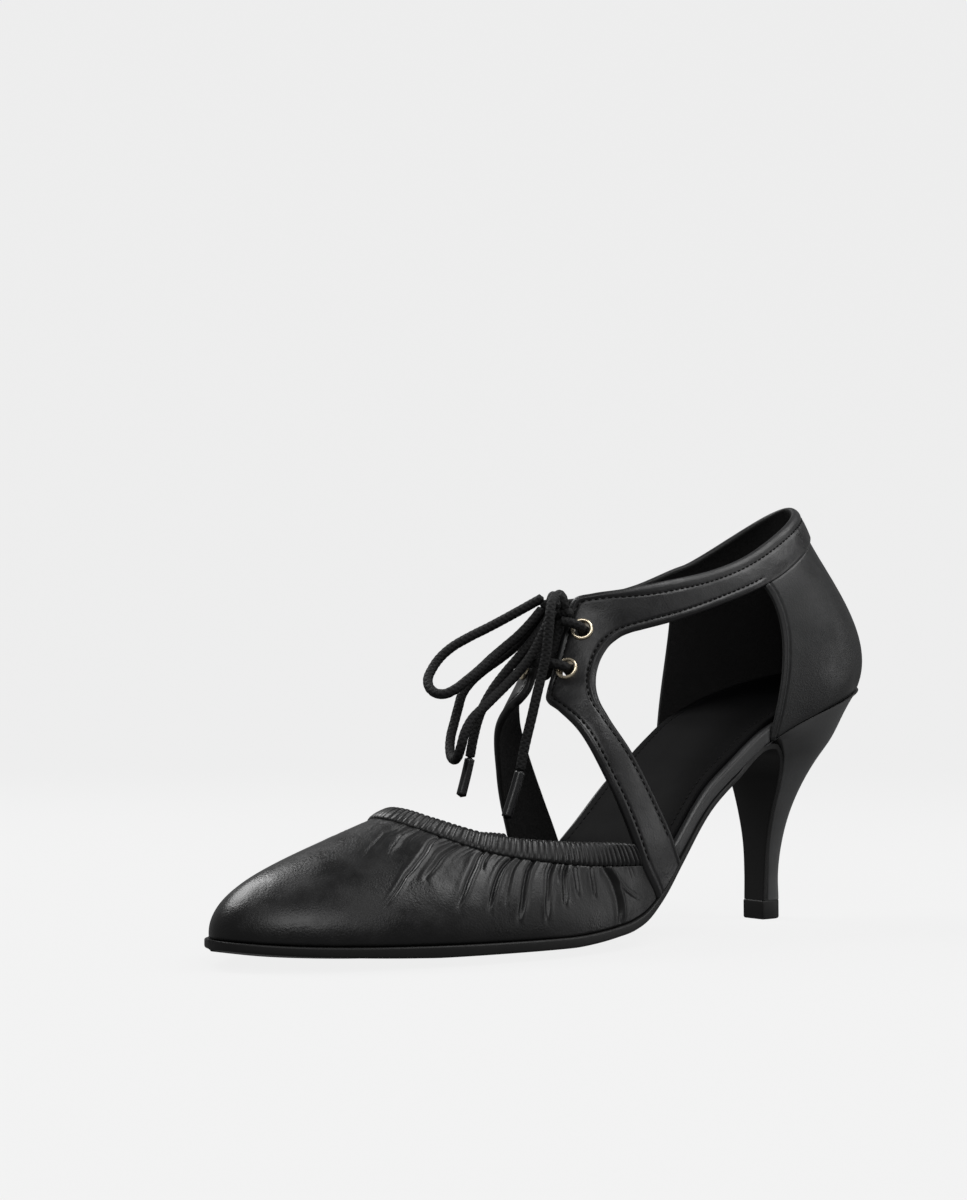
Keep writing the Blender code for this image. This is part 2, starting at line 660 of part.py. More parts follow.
def add_outsole():
    """Outsole: forefoot, waist and the flap down the front of the heel, as one sheet."""
    toe = graded(OUTSOLE_TOE, OUTSOLE_TOE_END, 11)
    stations = np.concatenate([toe, np.linspace(OUTSOLE_TOE_END, OUTSOLE_WAIST_END, 22)[1:]])
    xs = feather("lateral")[0]
    change = OUTSOLE_MARGIN["waist"] - OUTSOLE_MARGIN["forefoot"]
    shift = OUTSOLE_MARGIN["forefoot"] + change * eased(xs, -10, 20)
    halves = {side: half_width(side, stations, shift) for side in SIDES}
    tread = height("tread", stations)
    seat = height("seat", stations)
    dome = height("dome", stations)
    rings = []
    for i, x in enumerate(stations):
        half = min(halves["lateral"][i], halves["medial"][i])
        shrink = min(OUTSOLE_EDGE_ROUND, 0.4 * half)
        low, high = (x, tread[i]), (x, seat[i])
        rings.append(section_ring(low, high, halves["lateral"][i], halves["medial"][i], dome[i], shrink))
    path = np.column_stack([FLAP["x"], FLAP["z"]])
    along = unit(np.gradient(path, axis=0))
    normals = np.column_stack([-along[:, 1], along[:, 0]])
    for low, normal, half in zip(path, normals, FLAP["half"]):
        rings.append(section_ring(low, low + normal * FLAP_THICKNESS, half, half, 0.0, FLAP_EDGE_ROUND))
    return loft("outsole", rings, SOLE_RUBBER)


def layer_rings(stations, lower, thickness, halves, shrink):
    """Rings of a flat layer with slightly rounded edges."""
    rings = []
    for i, x in enumerate(stations):
        low = lower[i]
        high = low + thickness[i]
        edge = min(shrink, 0.3 * thickness[i])
        ring = []
        for sign, half in ((-1, halves["lateral"][i]), (1, halves["medial"][i])):
            inner = max(half - shrink, 0.3 * half)
            column = [(inner, low), (half, low + edge), (half, high - edge), (inner, high)]
            points = [(x, sign * y, z) for y, z in column]
            ring += points[::-1] if sign < 0 else points
        rings.append(ring)
    return rings


def layer_stations(toe, back):
    """Stations of a layer of the foot bed, crowding at both ends."""
    front = graded(toe + LAYER_TIP, toe + LAYER_END, 7)
    rear = graded(back - LAYER_TIP, back - LAYER_END, 7)[::-1]
    middle = np.linspace(toe + LAYER_END, back - LAYER_END, 24)[1:-1]
    return np.concatenate([front, middle, rear])


def board_inset(x):
    """Distance of the board's edge inside the feather line: less in the open waist than inside the upper."""
    covered = BOARD_INSET["covered"] - BOARD_INSET["waist"]
    past_strap = eased(x, STRAP_REAR_FOOT + 1, STRAP_REAR_FOOT + 5)
    past_counter = eased(x, COUNTER_FOOT_X - 5, COUNTER_FOOT_X - 1)
    return BOARD_INSET["covered"] - covered * past_strap * (1 - past_counter)


def board_thickness(x):
    """Thickness of the board: thin under the toes, full from the waist back."""
    return BOARD_THICKNESS["toe"] + (BOARD_THICKNESS["waist"] - BOARD_THICKNESS["toe"]) * eased(x, -40, 15)


def add_board():
    """Wrapped insole board on the outsole and the heel seat."""
    xs = feather("lateral")[0]
    inset = board_inset(xs)
    ends = [feather("lateral", -inset)[0][k] for k in (0, -1)]
    stations = layer_stations(*ends)
    halves = {side: half_width(side, stations, -inset) for side in SIDES}
    lower = height("seat", stations) + GAP
    rings = layer_rings(stations, lower, board_thickness(stations), halves, LAYER_ROUND["board"])
    return loft("insole_board", rings, LEATHER)


def add_sock():
    """Sock on the board."""
    xs = feather("lateral")[0]
    inset = BOARD_INSET["covered"] + SOCK_INSET * np.ones_like(xs)
    ends = [feather("lateral", -inset)[0][k] for k in (0, -1)]
    stations = layer_stations(*ends)
    halves = {side: half_width(side, stations, -inset) for side in SIDES}
    lower = height("seat", stations) + GAP + board_thickness(stations) + GAP
    thickness = np.full(len(stations), SOCK_THICKNESS)
    return loft("insole", layer_rings(stations, lower, thickness, halves, LAYER_ROUND["sock"]), LEATHER)


def heel_half(front_half, widest_half, shares):
    """Half widths along a heel section, from its front edge to its back."""
    shares = np.asarray(shares, float)
    swell = np.sin(np.clip(shares / HEEL_WIDEST, 0, 1) * math.pi / 2)
    ahead = front_half + (widest_half - front_half) * swell
    behind = np.clip((shares - HEEL_WIDEST) / (1 - HEEL_WIDEST), 0, 1)
    return np.where(shares < HEEL_WIDEST, ahead, widest_half * np.sqrt(1 - behind**HEEL_ROUND))


def add_heel():
    """Covered heel: sections from the wearing piece up to the seat."""
    count = HEEL_COLUMNS
    shares = np.sin(np.linspace(0, math.pi / 2, count))
    names = ("front_x", "front_z", "back_x", "back_z", "front_half", "widest_half")
    rows = np.column_stack([HEEL[name] for name in names])
    rings = []
    for number, (front_x, front_z, back_x, back_z, front_half, widest_half) in enumerate(rows):
        x = front_x + (back_x - front_x) * shares
        z = front_z + (back_z - front_z) * shares
        if number == len(rows) - 1:
            z = height("seat", x)
        half = heel_half(front_half, widest_half, shares)
        lateral = np.column_stack([x, -half, z])
        medial = np.column_stack([x, half, z])[:-1]
        rings.append(np.vstack([lateral, medial[::-1]]))
    size = 2 * count - 1
    points = np.vstack(rings)
    polygons = []
    for i in range(len(rings) - 1):
        for k in range(size):
            after = (k + 1) % size
            polygons.append([i * size + k, i * size + after, (i + 1) * size + after, (i + 1) * size + k])
    for first in (0, (len(rings) - 1) * size):
        for k in range(count - 1):
            pair = [first + k, first + k + 1, first + size - 2 - k, first + size - 1 - k]
            polygons.append(pair[:2] + pair[3:] if k == count - 2 else pair)
    return add_mesh("heel", points, polygons, LEATHER)


def add_top_piece():
    """Wearing piece under the heel, flat on the ground."""
    shares = np.sin(np.linspace(0, math.pi / 2, TOP_PIECE_COLUMNS))
    rings = []
    levels = ((0.0, TOP_PIECE_BEVEL["width"]), (TOP_PIECE_BEVEL["height"], 0.0), (TOP_PIECE["height"], 0.0))
    for z, shrink in levels:
        front = TOP_PIECE["front"] + shrink
        back = TOP_PIECE["back"] - shrink
        x = front + (back - front) * shares
        widest = TOP_PIECE["half"] - shrink
        half = heel_half(widest - TOP_PIECE["taper"], widest, shares)
        lateral = np.column_stack([x, -half, np.full(len(x), z)])
        medial = np.column_stack([x, half, np.full(len(x), z)])[:-1]
        rings.append(np.vstack([lateral, medial[::-1]]))
    return loft("heel_top_piece", rings, SOLE_RUBBER)


def add_binding():
    """Gathered binding that carries the vamp's edge on round the throat, from strap to strap."""
    stations = np.linspace(THROAT_STATION, BINDING_END, BINDING_COLUMNS)
    angles = 2 * math.pi * (np.arange(BINDING_SIDES) + 0.5) / BINDING_SIDES
    rings = []
    middle = (BINDING_OUTSIDE - BINDING_INSIDE) / 2
    half_depth = (BINDING_OUTSIDE + BINDING_INSIDE) / 2
    for side, order in (("lateral", stations[::-1]), ("medial", stations[1:])):
        for station in order:
            edge, run, normal = throat_frame(side, station)
            ring = []
            for angle in angles:
                across = math.copysign(abs(math.cos(angle)) ** BINDING_ROUND, math.cos(angle))
                deep = math.copysign(abs(math.sin(angle)) ** BINDING_ROUND, math.sin(angle))
                on = BINDING_GAP + BINDING_WIDTH * (1 + across) / 2
                ring.append(edge + run * on + normal * (middle + half_depth * deep))
            rings.append(on_side(side, ring))
    return loft("throat_binding", rings, LEATHER)


def spokes(axis):
    """Unit vectors square to an axis, evenly round it."""
    first = unit(np.cross(axis, UP))
    second = np.cross(axis, first)
    angles = 2 * math.pi * np.arange(EYELET_SIDES) / EYELET_SIDES
    return np.outer(np.cos(angles), first) + np.outer(np.sin(angles), second)


def spin_profile(name, profile, place, axis, look):
    """Solid turned from a closed (radius, along) profile about a unit axis through place."""
    points = []
    for spoke in spokes(axis):
        points += [place + spoke * radius + axis * along for radius, along in profile]
    count = len(profile)
    polygons = []
    for k in range(EYELET_SIDES):
        after = (k + 1) % EYELET_SIDES
        for i in range(count):
            j = (i + 1) % count
            polygons.append([k * count + i, k * count + j, after * count + j, after * count + i])
    return add_mesh(name, points, polygons, look)


def eyelet_profile():
    """Rolled eyelet: barrel through the facing with a flange on each face; the outer face is at 0."""
    thickness = UPPER_WALL + BAND_LIFT
    low = -thickness - EYELET_SEAT["inside"]
    high = EYELET_SEAT["outside"]
    return [
        (EYELET_BORE, low - EYELET_ROLL * 0.6),
        (EYELET_BORE, high + EYELET_ROLL * 0.5),
        (EYELET_BORE + 0.4, high + EYELET_ROLL),
        (EYELET_FLANGE, high + EYELET_ROLL * 0.4),
        (EYELET_FLANGE, high),
        (EYELET_BARREL, high),
        (EYELET_BARREL, low),
        (EYELET_FLANGE, low),
        (EYELET_FLANGE, low - EYELET_ROLL * 0.6),
    ]


def hole_cutter(name, place, axis):
    """Hidden cylinder that cuts one eyelet's hole in the facing."""
    rings = [place + spokes(axis) * EYELET_HOLE + axis * along for along in (-CUTTER_REACH, CUTTER_REACH)]
    cutter = loft(name, rings, LEATHER)
    cutter.hide_render = True
    cutter.display_type = "WIRE"
    return cutter


def add_eyelets(upper):
    """Eyelets of both facings and their holes in the upper."""
    frames = {}
    for side in SIDES:
        for level, (row, share) in EYELETS.items():
            place, normal = band_point(side, row, share)
            frames[side, level] = (place, normal)
            spin_profile(f"eyelet_{side}_{level}", eyelet_profile(), place, normal, PALE_GOLD)
            cut = upper.modifiers.new(f"hole_{side}_{level}", "BOOLEAN")
            cut.operation = "DIFFERENCE"
            cut.solver = "EXACT"
            cut.object = hole_cutter(f"cutter_{side}_{level}", place, normal)
    return frames


def cord_points(route, step=LACE_STEP):
    """Points at an even step on a smooth curve through a route."""
    route = np.asarray(route, float)
    knots = chord_knots(route)
    count = max(3, round(knots[-1] / step) + 1)
    return smooth(knots, route, np.linspace(0, knots[-1], count))


def add_cord(name, points, radius, look):
    """Round cord as a bevelled curve with filled ends."""
    curve = bpy.data.curves.new(name, "CURVE")
    curve.dimensions = "3D"
    curve.bevel_depth = radius * MM
    curve.bevel_resolution = 2
    curve.use_fill_caps = True
    spline = curve.splines.new("POLY")
    spline.points.add(len(points) - 1)
    for target, point in zip(spline.points, np.asarray(points) * MM):
        target.co = (*point, 1.0)
    curve.materials.append(material(name, *look))
    made = bpy.data.objects.new(name, curve)
    bpy.context.scene.collection.objects.link(made)
    return made


def lace_bar_route(frames):
    """Lace through the eyelets: knot, upper eyelet, across inside, lower eyelet, bar outside, and back up."""

    def at(side, level, along):
        place, normal = frames[side, level]
        return place + normal * along

    def outside(side, level, towards):
        near = at(side, level, LACE_STAND_OFF)
        return near + unit(np.asarray(towards) - near) * BAR_REACH

    knot = np.array(KNOT_CENTRE)
    deep = -UPPER_WALL - BAND_LIFT
    beside = np.array(BAR_END) + np.array([0.0, KNOT_RADII[1], 0.0])
    starts = {side: knot + on_side(side, beside) for side in SIDES}
    inner = {key: at(*key, -LACE_INSIDE) for key in frames}
    middle = sum(inner.values()) / 4
    depth = unit(sum(normal for _, normal in frames.values()))
    bar_middle = (at("lateral", "lower", LACE_STAND_OFF) + at("medial", "lower", LACE_STAND_OFF)) / 2
    bar_middle = bar_middle + np.array(BAR_BOW)
    through = (BAR_LIP, 0.0, deep, BAR_DEEP - LACE_INSIDE)
    route = [starts["lateral"], outside("lateral", "upper", starts["lateral"])]
    route += [at("lateral", "upper", along) for along in through]
    route.append(middle + depth * BAR_CROSS)
    route += [at("medial", "lower", along) for along in through[::-1]]
    route += [outside("medial", "lower", bar_middle), bar_middle, outside("lateral", "lower", bar_middle)]
    route += [at("lateral", "lower", along) for along in through]
    route.append(middle - depth * BAR_CROSS)
    route += [at("medial", "upper", along) for along in through[::-1]]
    route += [outside("medial", "upper", starts["medial"]), starts["medial"]]
    return route


def add_knot():
    """Knot as a lumpy ball."""
    centre = np.array(KNOT_CENTRE)
    pole = UP * KNOT_RADII[2]
    points = [centre - pole]
    for i in range(1, KNOT_ROWS):
        tilt = math.pi * i / KNOT_ROWS
        for k in range(KNOT_COLUMNS):
            turn = 2 * math.pi * k / KNOT_COLUMNS
            lump = 1 + KNOT_LUMP * math.cos(3 * turn + tilt)
            direction = (math.sin(tilt) * math.cos(turn), math.sin(tilt) * math.sin(turn), -math.cos(tilt))
            points.append(centre + np.array(KNOT_RADII) * direction * lump)
    points.append(centre + pole)
    polygons = []
    last = 1 + (KNOT_ROWS - 2) * KNOT_COLUMNS
    for k in range(KNOT_COLUMNS):
        after = (k + 1) % KNOT_COLUMNS
        polygons.append([0, 1 + after, 1 + k])
        polygons.append([len(points) - 1, last + k, last + after])
        for low in range(1, last, KNOT_COLUMNS):
            high = low + KNOT_COLUMNS
            polygons.append([low + k, low + after, high + after, high + k])
    return add_mesh("lace_knot", points, polygons, CORD)


def add_laces(frames):
    """Lace between the eyelets, its knot, loops, ends and tips."""
    add_cord("lace_bars", cord_points(lace_bar_route(frames), BAR_STEP), LACE_RADIUS, CORD)
    add_knot()
    for name, route in LACE_ROUTES.items():
        add_cord(name, cord_points(route), LACE_RADIUS, CORD)
    for name, route in LACE_TIPS.items():
        add_cord(name, cord_points(route), TIP_RADIUS, TIP_PLASTIC)


def main():
    """Builds the shoe in an empty scene."""
    for old in list(bpy.data.objects):
        bpy.data.objects.remove(old)
    add_outsole()
    add_heel()
    add_top_piece()
    add_board()
    add_sock()
    points, polygons = shell(upper_patches(), UPPER_WALL)
    upper = add_mesh("upper", points, polygons, LEATHER)
    add_binding()
    add_laces(add_eyelets(upper))


main()
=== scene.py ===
"""Dressed lace-up court shoe: leather panels, gathered vamp, stitches, eyelets, laces, sole and stage.

The toe points to -X, the outer (lateral) side to -Y and up is +Z. Shapes are worked out in millimetres
and become metres when a piece is made.
"""

import functools
import math

import bmesh
import bpy
import mathutils
import numpy as np
from bpy.props import FloatProperty, FloatVectorProperty, IntProperty, PointerProperty
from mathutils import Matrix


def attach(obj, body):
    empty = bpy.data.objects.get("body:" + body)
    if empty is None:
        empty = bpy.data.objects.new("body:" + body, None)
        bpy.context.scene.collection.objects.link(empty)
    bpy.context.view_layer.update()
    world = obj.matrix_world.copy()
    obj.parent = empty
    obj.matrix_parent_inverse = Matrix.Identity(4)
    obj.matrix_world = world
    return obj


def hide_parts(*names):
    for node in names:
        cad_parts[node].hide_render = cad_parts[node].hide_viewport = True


bl_info = {
    "name": "Lace-up Court Shoe",
    "version": (1, 0, 0),
    "blender": (4, 5, 0),
    "location": "View3D > Sidebar > Shoe",
    "description": "Dresses the solids of a laced court shoe in leather, thread, cord and metal",
    "category": "Object",
}

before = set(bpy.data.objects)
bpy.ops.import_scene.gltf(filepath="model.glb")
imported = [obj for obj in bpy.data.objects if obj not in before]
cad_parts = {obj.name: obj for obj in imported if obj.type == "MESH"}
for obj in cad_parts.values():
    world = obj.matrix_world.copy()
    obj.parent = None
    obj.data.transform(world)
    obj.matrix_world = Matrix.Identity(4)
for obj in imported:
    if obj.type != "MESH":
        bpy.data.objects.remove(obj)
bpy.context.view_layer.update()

MM = 0.001
SIDES = {"lateral": -1.0, "medial": 1.0}
UP = np.array([0.0, 0.0, 1.0])


def table(columns, rows):
    """Rows of sizes as arrays by column name."""
    return dict(zip(columns.split(), np.array(rows, float).T))


# Feather edge, where upper meets sole: half widths from toe tip to back of heel; then the underside, with
# the tread, the seat that carries the board, and the depth of the tread's dome.
OUTLINE = table(
    "x lateral medial",
    [
        (-115.4, 0.0, 0.0), (-114.3, 5.2, 4.8), (-111.0, 10.2, 9.4), (-100.0, 19.8, 19.8),
        (-85.0, 27.5, 28.7), (-70.0, 32.5, 34.5), (-50.0, 36.5, 37.5), (-30.0, 38.0, 36.0),
        (-10.0, 35.5, 30.5), (10.0, 30.5, 25.0), (30.0, 26.5, 22.5), (50.0, 25.5, 24.0),
        (66.0, 25.8, 25.4), (84.0, 25.6, 25.4), (97.0, 22.8, 22.8), (106.0, 18.0, 18.0),
        (112.3, 10.8, 10.8), (115.2, 0.0, 0.0),
    ],
)
BOTTOM = table(
    "x tread seat dome",
    [
        (-118.0, 5.2, 7.3, 0.4), (-105.0, 4.1, 6.4, 1.3), (-90.0, 3.3, 5.8, 2.0), (-75.0, 2.7, 5.5, 2.4),
        (-68.0, 2.5, 5.4, 2.5), (-30.0, 2.5, 5.2, 2.5), (-22.0, 2.9, 5.5, 2.0), (-12.0, 3.9, 6.4, 1.4),
        (-4.0, 5.1, 7.6, 0.9), (3.0, 7.4, 9.9, 0.4), (10.0, 12.0, 14.5, 0.3), (20.0, 21.5, 24.0, 0.3),
        (33.5, 35.0, 37.5, 0.3), (46.0, 44.0, 46.5, 0.3), (52.0, 48.0, 50.8, 0.3), (56.4, 50.2, 53.7, 0.3),
        (65.0, 52.8, 58.0, 0.3), (73.4, 53.0, 61.5, 0.3), (90.0, 53.0, 66.8, 0.3), (110.0, 53.0, 72.3, 0.3),
        (117.0, 53.0, 74.0, 0.3),
    ],
)

# Sole, board and sock. The flap is the part of the sole that turns down the front of the heel.
SOLE_MARGIN = {"forefoot": 1.1, "waist": 0.5}
SOLE_FLAT = 0.25
SOLE_DOME_FALL = 1.6
SOLE_TOE = -116.4
SOLE_TOE_END = -60.0
SOLE_WAIST_END = 46.0
SOLE_NARROWS = (-10.0, 20.0)
SOLE_CUTS = {"toe": 60, "waist": 90, "flap": 110}
SOLE_WAIST_THIN = {"from": 12.0, "tread": 0.7, "edge": 0.5}
SOLE_ROUNDS = {"sole": (0.7, 0.5), "flap": (0.35, 0.2), "board": (0.5, 0.8), "sock": (0.3, 0.6)}
FLAP_THICKNESS = 1.4
FLAP_FILL = 0.3
FLAP = table(
    "x z half",
    [
        (50.0, 47.5, 24.8), (54.0, 50.2, 24.2), (59.0, 52.4, 22.8), (64.0, 53.1, 20.4), (69.0, 53.2, 17.6),
        (73.0, 52.7, 15.0), (76.0, 50.6, 13.0), (77.6, 47.0, 11.4), (78.0, 42.0, 10.0), (78.0, 34.0, 7.4),
        (78.0, 24.0, 5.2), (77.8, 14.0, 4.4), (77.5, 5.9, 4.2),
    ],
)
BOARD_INSET = {"covered": 1.9, "waist": 0.5}
BOARD_THICKNESS = {"toe": 2.2, "waist": 4.0}
SOCK_INSET = 3.2
SOCK_THICKNESS = 1.5
SOCK_SEAM = 3.0
LAYER_GAP = 0.3
LAYER_FILL = 0.12
LAYER_TIP = 0.04
LAYER_END = 30.0
ROUND_LIMIT = {"up": 0.45, "in": 0.4}
LAYER_CUTS = {"end": 30, "middle": 90, "across": 23, "round": 6}
BOARD_THICKENS = (-40.0, 15.0)
WAIST_OPENS = np.array([-2.0, 0.5])
WAIST_CLOSES = np.array([-0.5, 2.0])
LAYER_TOP = {"insets": (1.0, 2.0), "room": 1.0, "most": 0.5, "middle": 0.3}
SEAM_DIP = {"aside": (-0.55, -0.25, 0.0, 0.25, 0.55), "deep": (0.0, 0.10, 0.18, 0.10, 0.0)}
SHARP_FROM = math.radians(42.0)

# Heel: each section runs from its front edge to its back, with half widths at the front and at the widest.
HEEL = table(
    "front_x front_z back_x back_z front_half widest_half",
    [
        (79.7, 5.9, 86.5, 5.9, 4.2, 4.4), (79.8, 14.0, 86.1, 14.0, 4.4, 4.6),
        (79.8, 24.0, 87.2, 24.0, 5.2, 5.8), (79.8, 33.0, 89.4, 33.0, 7.2, 7.9),
        (79.8, 41.0, 92.8, 41.4, 9.8, 10.8), (79.5, 47.4, 97.2, 49.0, 11.6, 14.0),
        (77.6, 52.4, 102.4, 56.0, 13.6, 17.6), (72.6, 54.9, 107.2, 62.2, 17.0, 20.8),
        (65.0, 54.9, 111.4, 67.6, 21.6, 23.6), (57.5, 54.3, 115.3, 73.3, 25.6, 25.9),
    ],
)
HEEL_WIDEST = 0.42
HEEL_ROUND = 2.3
HEEL_CORNER = 0.45
HEEL_CUTS = {"up": 90, "face": 6, "corner": 6, "side": 34}
TOP_PIECE = {"front": 77.2, "back": 86.9, "front_half": 4.3, "half": 4.5}
TOP_PIECE_LEVELS = ((0.0, 0.3), (0.35, 0.05), (0.6, 0.0), (5.3, 0.0), (5.65, 0.08), (5.8, 0.25))

# Vamp ribs from the feather edge to the spine or, past the throat station, to the throat edge.
THROAT_STATION = 0.4
VAMP = table(
    "station x lateral medial z run_x run_y run_z fan rise reach flare",
    [
        (0.00, -97.0, 0.0, 0.0, 25.1, 1.00, 0.00, 0.36, 0, 9.0, 9.2, 0.8),
        (0.12, -92.0, 0.0, 0.0, 26.9, 1.00, 0.00, 0.36, 42, 9.8, 9.2, 1.0),
        (0.25, -83.5, 0.0, 0.0, 29.9, 1.00, 0.00, 0.36, 58, 11.2, 10.8, 1.2),
        (0.40, -65.8, 0.0, 0.0, 36.0, 1.00, 0.00, 0.42, 58, 12.5, 14.0, 1.4),
        (0.45, -64.6, 5.3, 5.3, 35.5, 0.96, -0.15, 0.42, 50, 12.8, 14.0, 1.4),
        (0.52, -60.6, 12.8, 12.8, 33.3, 0.86, -0.35, 0.46, 38, 12.5, 12.5, 1.3),
        (0.62, -49.8, 24.3, 23.8, 28.2, 0.60, -0.52, 0.64, 16, 10.5, 9.0, 1.2),
        (0.80, -25.0, 32.6, 30.0, 23.6, 0.16, -0.42, 0.89, 2, 7.5, 6.0, 1.2),
        (1.00, 1.6, 32.0, 25.4, 22.0, -0.44, -0.03, 0.90, 0, 3.5, 3.5, 0.3),
    ],
)

# Strap, facing and collar as one band: front (upper) edge, rear (lower) edge, crown and medial drop.
STRAP_FRONT_FOOT = 7.4
STRAP_REAR_FOOT = 18.0
BIND_ROW = 1
BAND_NUDGE = {"section": 0.5, "along": 0.4, "across": 0.02}
STATION_NUDGE = 0.002
BAND = table(
    "front_x front_lateral front_medial front_z rear_x rear_lateral rear_medial rear_z crown drop",
    [
        (7.4, 31.2, 25.7, 12.9, 18.0, 28.6, 23.7, 22.6, 0.2, 0.0),
        (1.6, 32.0, 25.4, 22.0, 14.0, 29.0, 23.0, 30.6, 0.4, 0.0),
        (-1.8, 31.0, 24.8, 31.2, 10.2, 28.3, 22.4, 38.0, 0.6, 0.0),
        (-6.6, 26.6, 22.6, 45.9, 2.8, 25.4, 21.2, 53.0, 0.8, 0.0),
        (-10.7, 18.2, 17.2, 60.5, -1.9, 21.0, 19.4, 62.9, 0.9, 0.0),
        (-11.6, 11.2, 11.0, 65.4, -3.4, 18.6, 18.0, 68.0, 1.0, 0.0),
        (-11.6, 6.4, 6.4, 68.0, -3.2, 17.0, 16.8, 72.0, 1.0, 0.0),
        (-9.9, 4.9, 4.9, 70.8, -2.3, 16.0, 16.0, 74.6, 0.9, 0.0),
        (-7.9, 4.7, 4.7, 75.6, -1.0, 15.2, 15.2, 77.0, 0.8, 0.0),
        (-4.4, 4.5, 4.5, 85.6, 2.2, 14.6, 14.6, 81.6, 0.8, 0.0),
        (-1.7, 4.5, 4.5, 93.8, 5.8, 14.6, 14.6, 84.8, 0.8, 0.3),
        (-0.4, 5.6, 5.6, 97.0, 8.6, 15.0, 15.0, 86.5, 0.7, 0.7),
        (3.0, 9.0, 9.0, 98.2, 11.5, 15.6, 15.6, 87.6, 0.6, 1.1),
        (10.0, 12.8, 12.8, 99.4, 15.5, 16.6, 16.6, 88.6, 0.5, 1.8),
        (25.0, 16.6, 16.6, 102.4, 26.0, 18.6, 18.6, 91.2, 0.5, 3.0),
        (43.6, 17.4, 17.4, 106.4, 44.0, 20.2, 20.2, 96.6, 0.4, 3.0),
        (60.0, 16.4, 16.4, 112.0, 62.2, 20.9, 20.9, 103.1, 0.4, 2.6),
    ],
)
COLLAR_BACK = {"front": (94.2, 129.6), "rear": (96.6, 121.4)}
COLLAR_CLIMB = {"lateral": {"front": 1.0, "rear": 1.1}, "medial": {"front": 1.3, "rear": 1.3}}
COLLAR_ROUND = {"front": 1.85, "rear": 2.15}
HEEL_TURNS = 9

# Counter: ribs from the seat up to the collar band.
COUNTER_FOOT_X = 59.5
COUNTER_RISE = 15.0
COUNTER_REACH = 14.0
COUNTER_BULGE = {"side": 2.4, "back": 9.0}
COUNTER_SHOULDER = {"side": 0.8, "back": -1.0}
COUNTER_FRONT_BOW = 3.4
COUNTER_BOW_END = 0.5

RIM_CLEARANCE = 0.5
UPPER_WALL = 1.4
BAND_LIFT = 0.8
BINDING_WIDTH = 6.6
BINDING_OUTSIDE = 0.9
BINDING_INSIDE = 1.8
BINDING_END = 0.994
BINDING_GAP = 0.4
BINDING_LAP = 0.35
BINDING_ROUND = 0.75
PLEAT_START = {"run": 0.06, "least": 0.35}
PLEAT = {"noise": 300.0, "wander": 1.1, "power": 0.45, "least": 0.3, "uneven": 1.4}

# Creases that gather the vamp under its binding: way of each as (station, share up the rib) from the binding
# down, half width and depth in millimetres, and the side of its bright lip: 1 to the heel, -1 to the toe.
# A negative depth is a ridge.
CREASES = [
    ([(0.555, 1.00), (0.487, 0.70), (0.408, 0.47), (0.340, 0.27)], 0.50, 0.56, 1),
    ([(0.590, 1.00), (0.547, 0.79), (0.498, 0.61), (0.442, 0.45)], 0.55, 0.62, -1),
    ([(0.625, 1.00), (0.587, 0.71), (0.518, 0.39), (0.486, 0.27)], 0.55, 0.66, 1),
    ([(0.638, 1.00), (0.603, 0.72)], 0.50, 0.36, 1),
    ([(0.678, 1.00), (0.628, 0.68), (0.592, 0.48), (0.550, 0.26)], 0.50, 0.66, 1),
    ([(0.694, 1.00), (0.648, 0.66), (0.592, 0.32)], 0.50, 0.30, 1),
    ([(0.718, 1.00), (0.678, 0.66), (0.648, 0.46), (0.605, 0.18)], 0.55, 0.68, 1),
    ([(0.760, 1.00), (0.718, 0.59), (0.686, 0.35), (0.669, 0.18)], 0.50, 0.62, -1),
    ([(0.774, 1.00), (0.752, 0.72)], 0.40, 0.30, 1),
    ([(0.788, 1.00), (0.748, 0.54), (0.728, 0.36)], 0.50, 0.58, 1),
    ([(0.806, 1.00), (0.792, 0.71), (0.776, 0.50)], 0.42, 0.36, 1),
    ([(0.847, 1.00), (0.834, 0.71), (0.818, 0.48)], 0.45, 0.44, 1),
    ([(0.886, 1.00), (0.893, 0.72), (0.886, 0.46), (0.867, 0.04)], 0.70, 0.90, 1),
    ([(0.900, 1.00), (0.920, 0.50), (0.945, 0.30)], 0.55, -0.26, 1),
    ([(0.515, 1.00), (0.450, 0.81), (0.386, 0.60)], 0.75, -0.26, 1),
    ([(0.485, 1.00), (0.440, 0.86), (0.346, 0.68)], 0.80, -0.22, 1),
    ([(0.450, 1.00), (0.400, 0.93), (0.335, 0.84)], 0.80, -0.18, 1),
]
# Section of a crease, in its half widths: humps beside the valley as (height, place, width). The fade is at
# its lower end, and the ease is under the binding.
CREASE = {"gain": 1.1, "power": 1.5, "lip": (0.46, 2.1, 1.2), "swell": (0.22, -2.6, 1.8)}
CREASE_FADE = (-0.08, 0.14)
CREASE_EASE = {"share": 0.4, "from": 0.93}
CREASE_MEDIAL = {"shift": 0.012, "wave": 2.3}
# Puckers along the throat seam: waves over its running length as (size, rate, start).
PUCKER = {"depth": 0.15, "pitch": 2.3, "power": 0.5, "level": 0.75, "reach": 0.66, "uneven": 0.20}
PUCKER_WANDER = ((1.4, 0.9, 0.0), (0.8, 0.37, 1.1))
PUCKER_REACH = ((1.7, 0.0), (0.61, 0.4))
PUCKER_START = (0.42, 0.5)
FOLDS_END = (0.004, 0.05)

